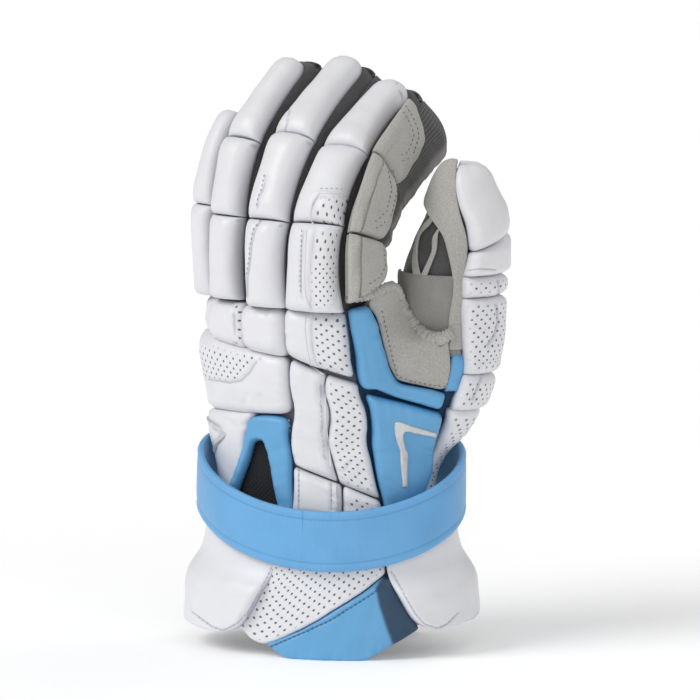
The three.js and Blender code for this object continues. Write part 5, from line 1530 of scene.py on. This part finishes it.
# Add-on
class GloveSizes(bpy.types.PropertyGroup):
    """Sizes of the glove's finish and stage."""

    wrinkle: bpy.props.FloatProperty(
        name="Wrinkle", description="Height of the leather's folds in millimetres", default=0.42, min=0, max=2,
    )
    stitch_pitch: bpy.props.FloatProperty(
        name="Stitch pitch", description="Distance between stitches in millimetres", default=2.6, min=1, max=6,
    )
    fill_light: bpy.props.FloatProperty(
        name="Fill light", description="Strength of the light from all round", default=0.42, min=0, max=3,
    )
    key_light: bpy.props.FloatProperty(
        name="Key light", description="Strength of the main lamp", default=1.5, min=0, max=10,
    )
    camera_distance: bpy.props.FloatProperty(
        name="Camera distance", description="How far away the camera stands", default=4.0, min=1, unit="LENGTH",
    )


def sizes():
    """The sizes that are set in the panel."""
    return {key: getattr(bpy.context.scene.glove_sizes, key) for key in GloveSizes.__annotations__}


def colour_property(key, label):
    """A colour that can be chosen in the panel."""
    return bpy.props.FloatVectorProperty(
        name=label, description=f"Colour of the {label.lower()}", default=linear(COLOURS[key]), subtype="COLOR",
        size=4, min=0, max=1,
    )


class GloveColours(bpy.types.PropertyGroup):
    """Colours of the glove's finishes."""

    white: colour_property("white", "White leather")
    blue: colour_property("blue", "Blue leather")
    strap: colour_property("strap", "Wrist strap")
    suede: colour_property("suede", "Suede")
    mesh: colour_property("mesh", "Mesh")
    liner: colour_property("liner", "Lining")


class GLOVE_OT_finishes(bpy.types.Operator):
    """Make every material"""

    bl_idname = "glove.finishes"
    bl_label = "Finishes"

    def execute(self, context):
        colours = context.scene.glove_colours
        finish_materials({key: tuple(getattr(colours, key)) for key in GloveColours.__annotations__})
        return {"FINISHED"}


class GLOVE_OT_sleeves(bpy.types.Operator):
    """Make the lining of the back and the palm leather"""

    bl_idname = "glove.sleeves"
    bl_label = "Lining and palm"

    def execute(self, context):
        build_sleeves(sizes())
        return {"FINISHED"}


class GLOVE_OT_stalls(bpy.types.Operator):
    """Make the mesh stalls of the fingers and thumb"""

    bl_idname = "glove.stalls"
    bl_label = "Finger and thumb stalls"

    def execute(self, context):
        build_stalls(sizes())
        return {"FINISHED"}


class GLOVE_OT_hand_pads(bpy.types.Operator):
    """Make the pads on the back of the hand"""

    bl_idname = "glove.hand_pads"
    bl_label = "Hand pads"

    def execute(self, context):
        build_pads("hand", HAND_PADS, sizes())
        return {"FINISHED"}


class GLOVE_OT_thumb_pads(bpy.types.Operator):
    """Make the pads and strips of the thumb"""

    bl_idname = "glove.thumb_pads"
    bl_label = "Thumb pads"

    def execute(self, context):
        build_pads("thumb", THUMB_PADS, sizes())
        return {"FINISHED"}


class GLOVE_OT_cuff(bpy.types.Operator):
    """Make the flaps and tabs of the cuff"""

    bl_idname = "glove.cuff"
    bl_label = "Cuff flaps"

    def execute(self, context):
        build_pads("cuff", CUFF_PADS, sizes())
        return {"FINISHED"}


class GLOVE_OT_rolls(bpy.types.Operator):
    """Make the foam rolls down the fingers"""

    bl_idname = "glove.rolls"
    bl_label = "Finger rolls"

    def execute(self, context):
        build_rolls(sizes())
        return {"FINISHED"}


class GLOVE_OT_gussets(bpy.types.Operator):
    """Make the suede side pads of the index finger"""

    bl_idname = "glove.gussets"
    bl_label = "Index side pads"

    def execute(self, context):
        build_gussets(sizes())
        return {"FINISHED"}


class GLOVE_OT_strap(bpy.types.Operator):
    """Make the padded wrist strap"""

    bl_idname = "glove.strap"
    bl_label = "Wrist strap"

    def execute(self, context):
        build_strap(sizes())
        return {"FINISHED"}


class GLOVE_OT_binding(bpy.types.Operator):
    """Make the crinkled binding of the thumb web"""

    bl_idname = "glove.binding"
    bl_label = "Web binding"

    def execute(self, context):
        build_binding(sizes())
        return {"FINISHED"}


class GLOVE_OT_stitching(bpy.types.Operator):
    """Sew the stitches and lay the piping"""

    bl_idname = "glove.stitching"
    bl_label = "Stitching and piping"

    def execute(self, context):
        build_stitches(sizes())
        return {"FINISHED"}


class GLOVE_OT_stage(bpy.types.Operator):
    """Set the floor, the lights and the camera"""

    bl_idname = "glove.stage"
    bl_label = "Stage"

    def execute(self, context):
        build_stage(sizes())
        return {"FINISHED"}


OPERATORS = (
    GLOVE_OT_finishes, GLOVE_OT_sleeves, GLOVE_OT_stalls, GLOVE_OT_hand_pads, GLOVE_OT_thumb_pads, GLOVE_OT_cuff,
    GLOVE_OT_rolls, GLOVE_OT_gussets, GLOVE_OT_strap, GLOVE_OT_binding, GLOVE_OT_stitching, GLOVE_OT_stage,
)


class GLOVE_PT_panel(bpy.types.Panel):
    """Lists the glove's steps, sizes and colours"""

    bl_idname = "GLOVE_PT_panel"
    bl_label = "Padded Lacrosse Glove"
    bl_space_type = "VIEW_3D"
    bl_region_type = "UI"
    bl_category = "Glove"

    def draw(self, context):
        for group in (context.scene.glove_sizes, context.scene.glove_colours):
            for key in type(group).__annotations__:
                self.layout.prop(group, key)
        for step in OPERATORS:
            self.layout.operator(step.bl_idname)


CLASSES = (GloveSizes, GloveColours, *OPERATORS, GLOVE_PT_panel)


def register():
    for entry in CLASSES:
        bpy.utils.register_class(entry)
    bpy.types.Scene.glove_sizes = bpy.props.PointerProperty(type=GloveSizes)
    bpy.types.Scene.glove_colours = bpy.props.PointerProperty(type=GloveColours)


def unregister():
    del bpy.types.Scene.glove_colours
    del bpy.types.Scene.glove_sizes
    for entry in reversed(CLASSES):
        bpy.utils.unregister_class(entry)


def main():
    """Make the whole glove."""
    register()
    for step in OPERATORS:
        getattr(bpy.ops.glove, step.bl_idname.split(".")[1])()


if __name__ == "__main__":
    main()
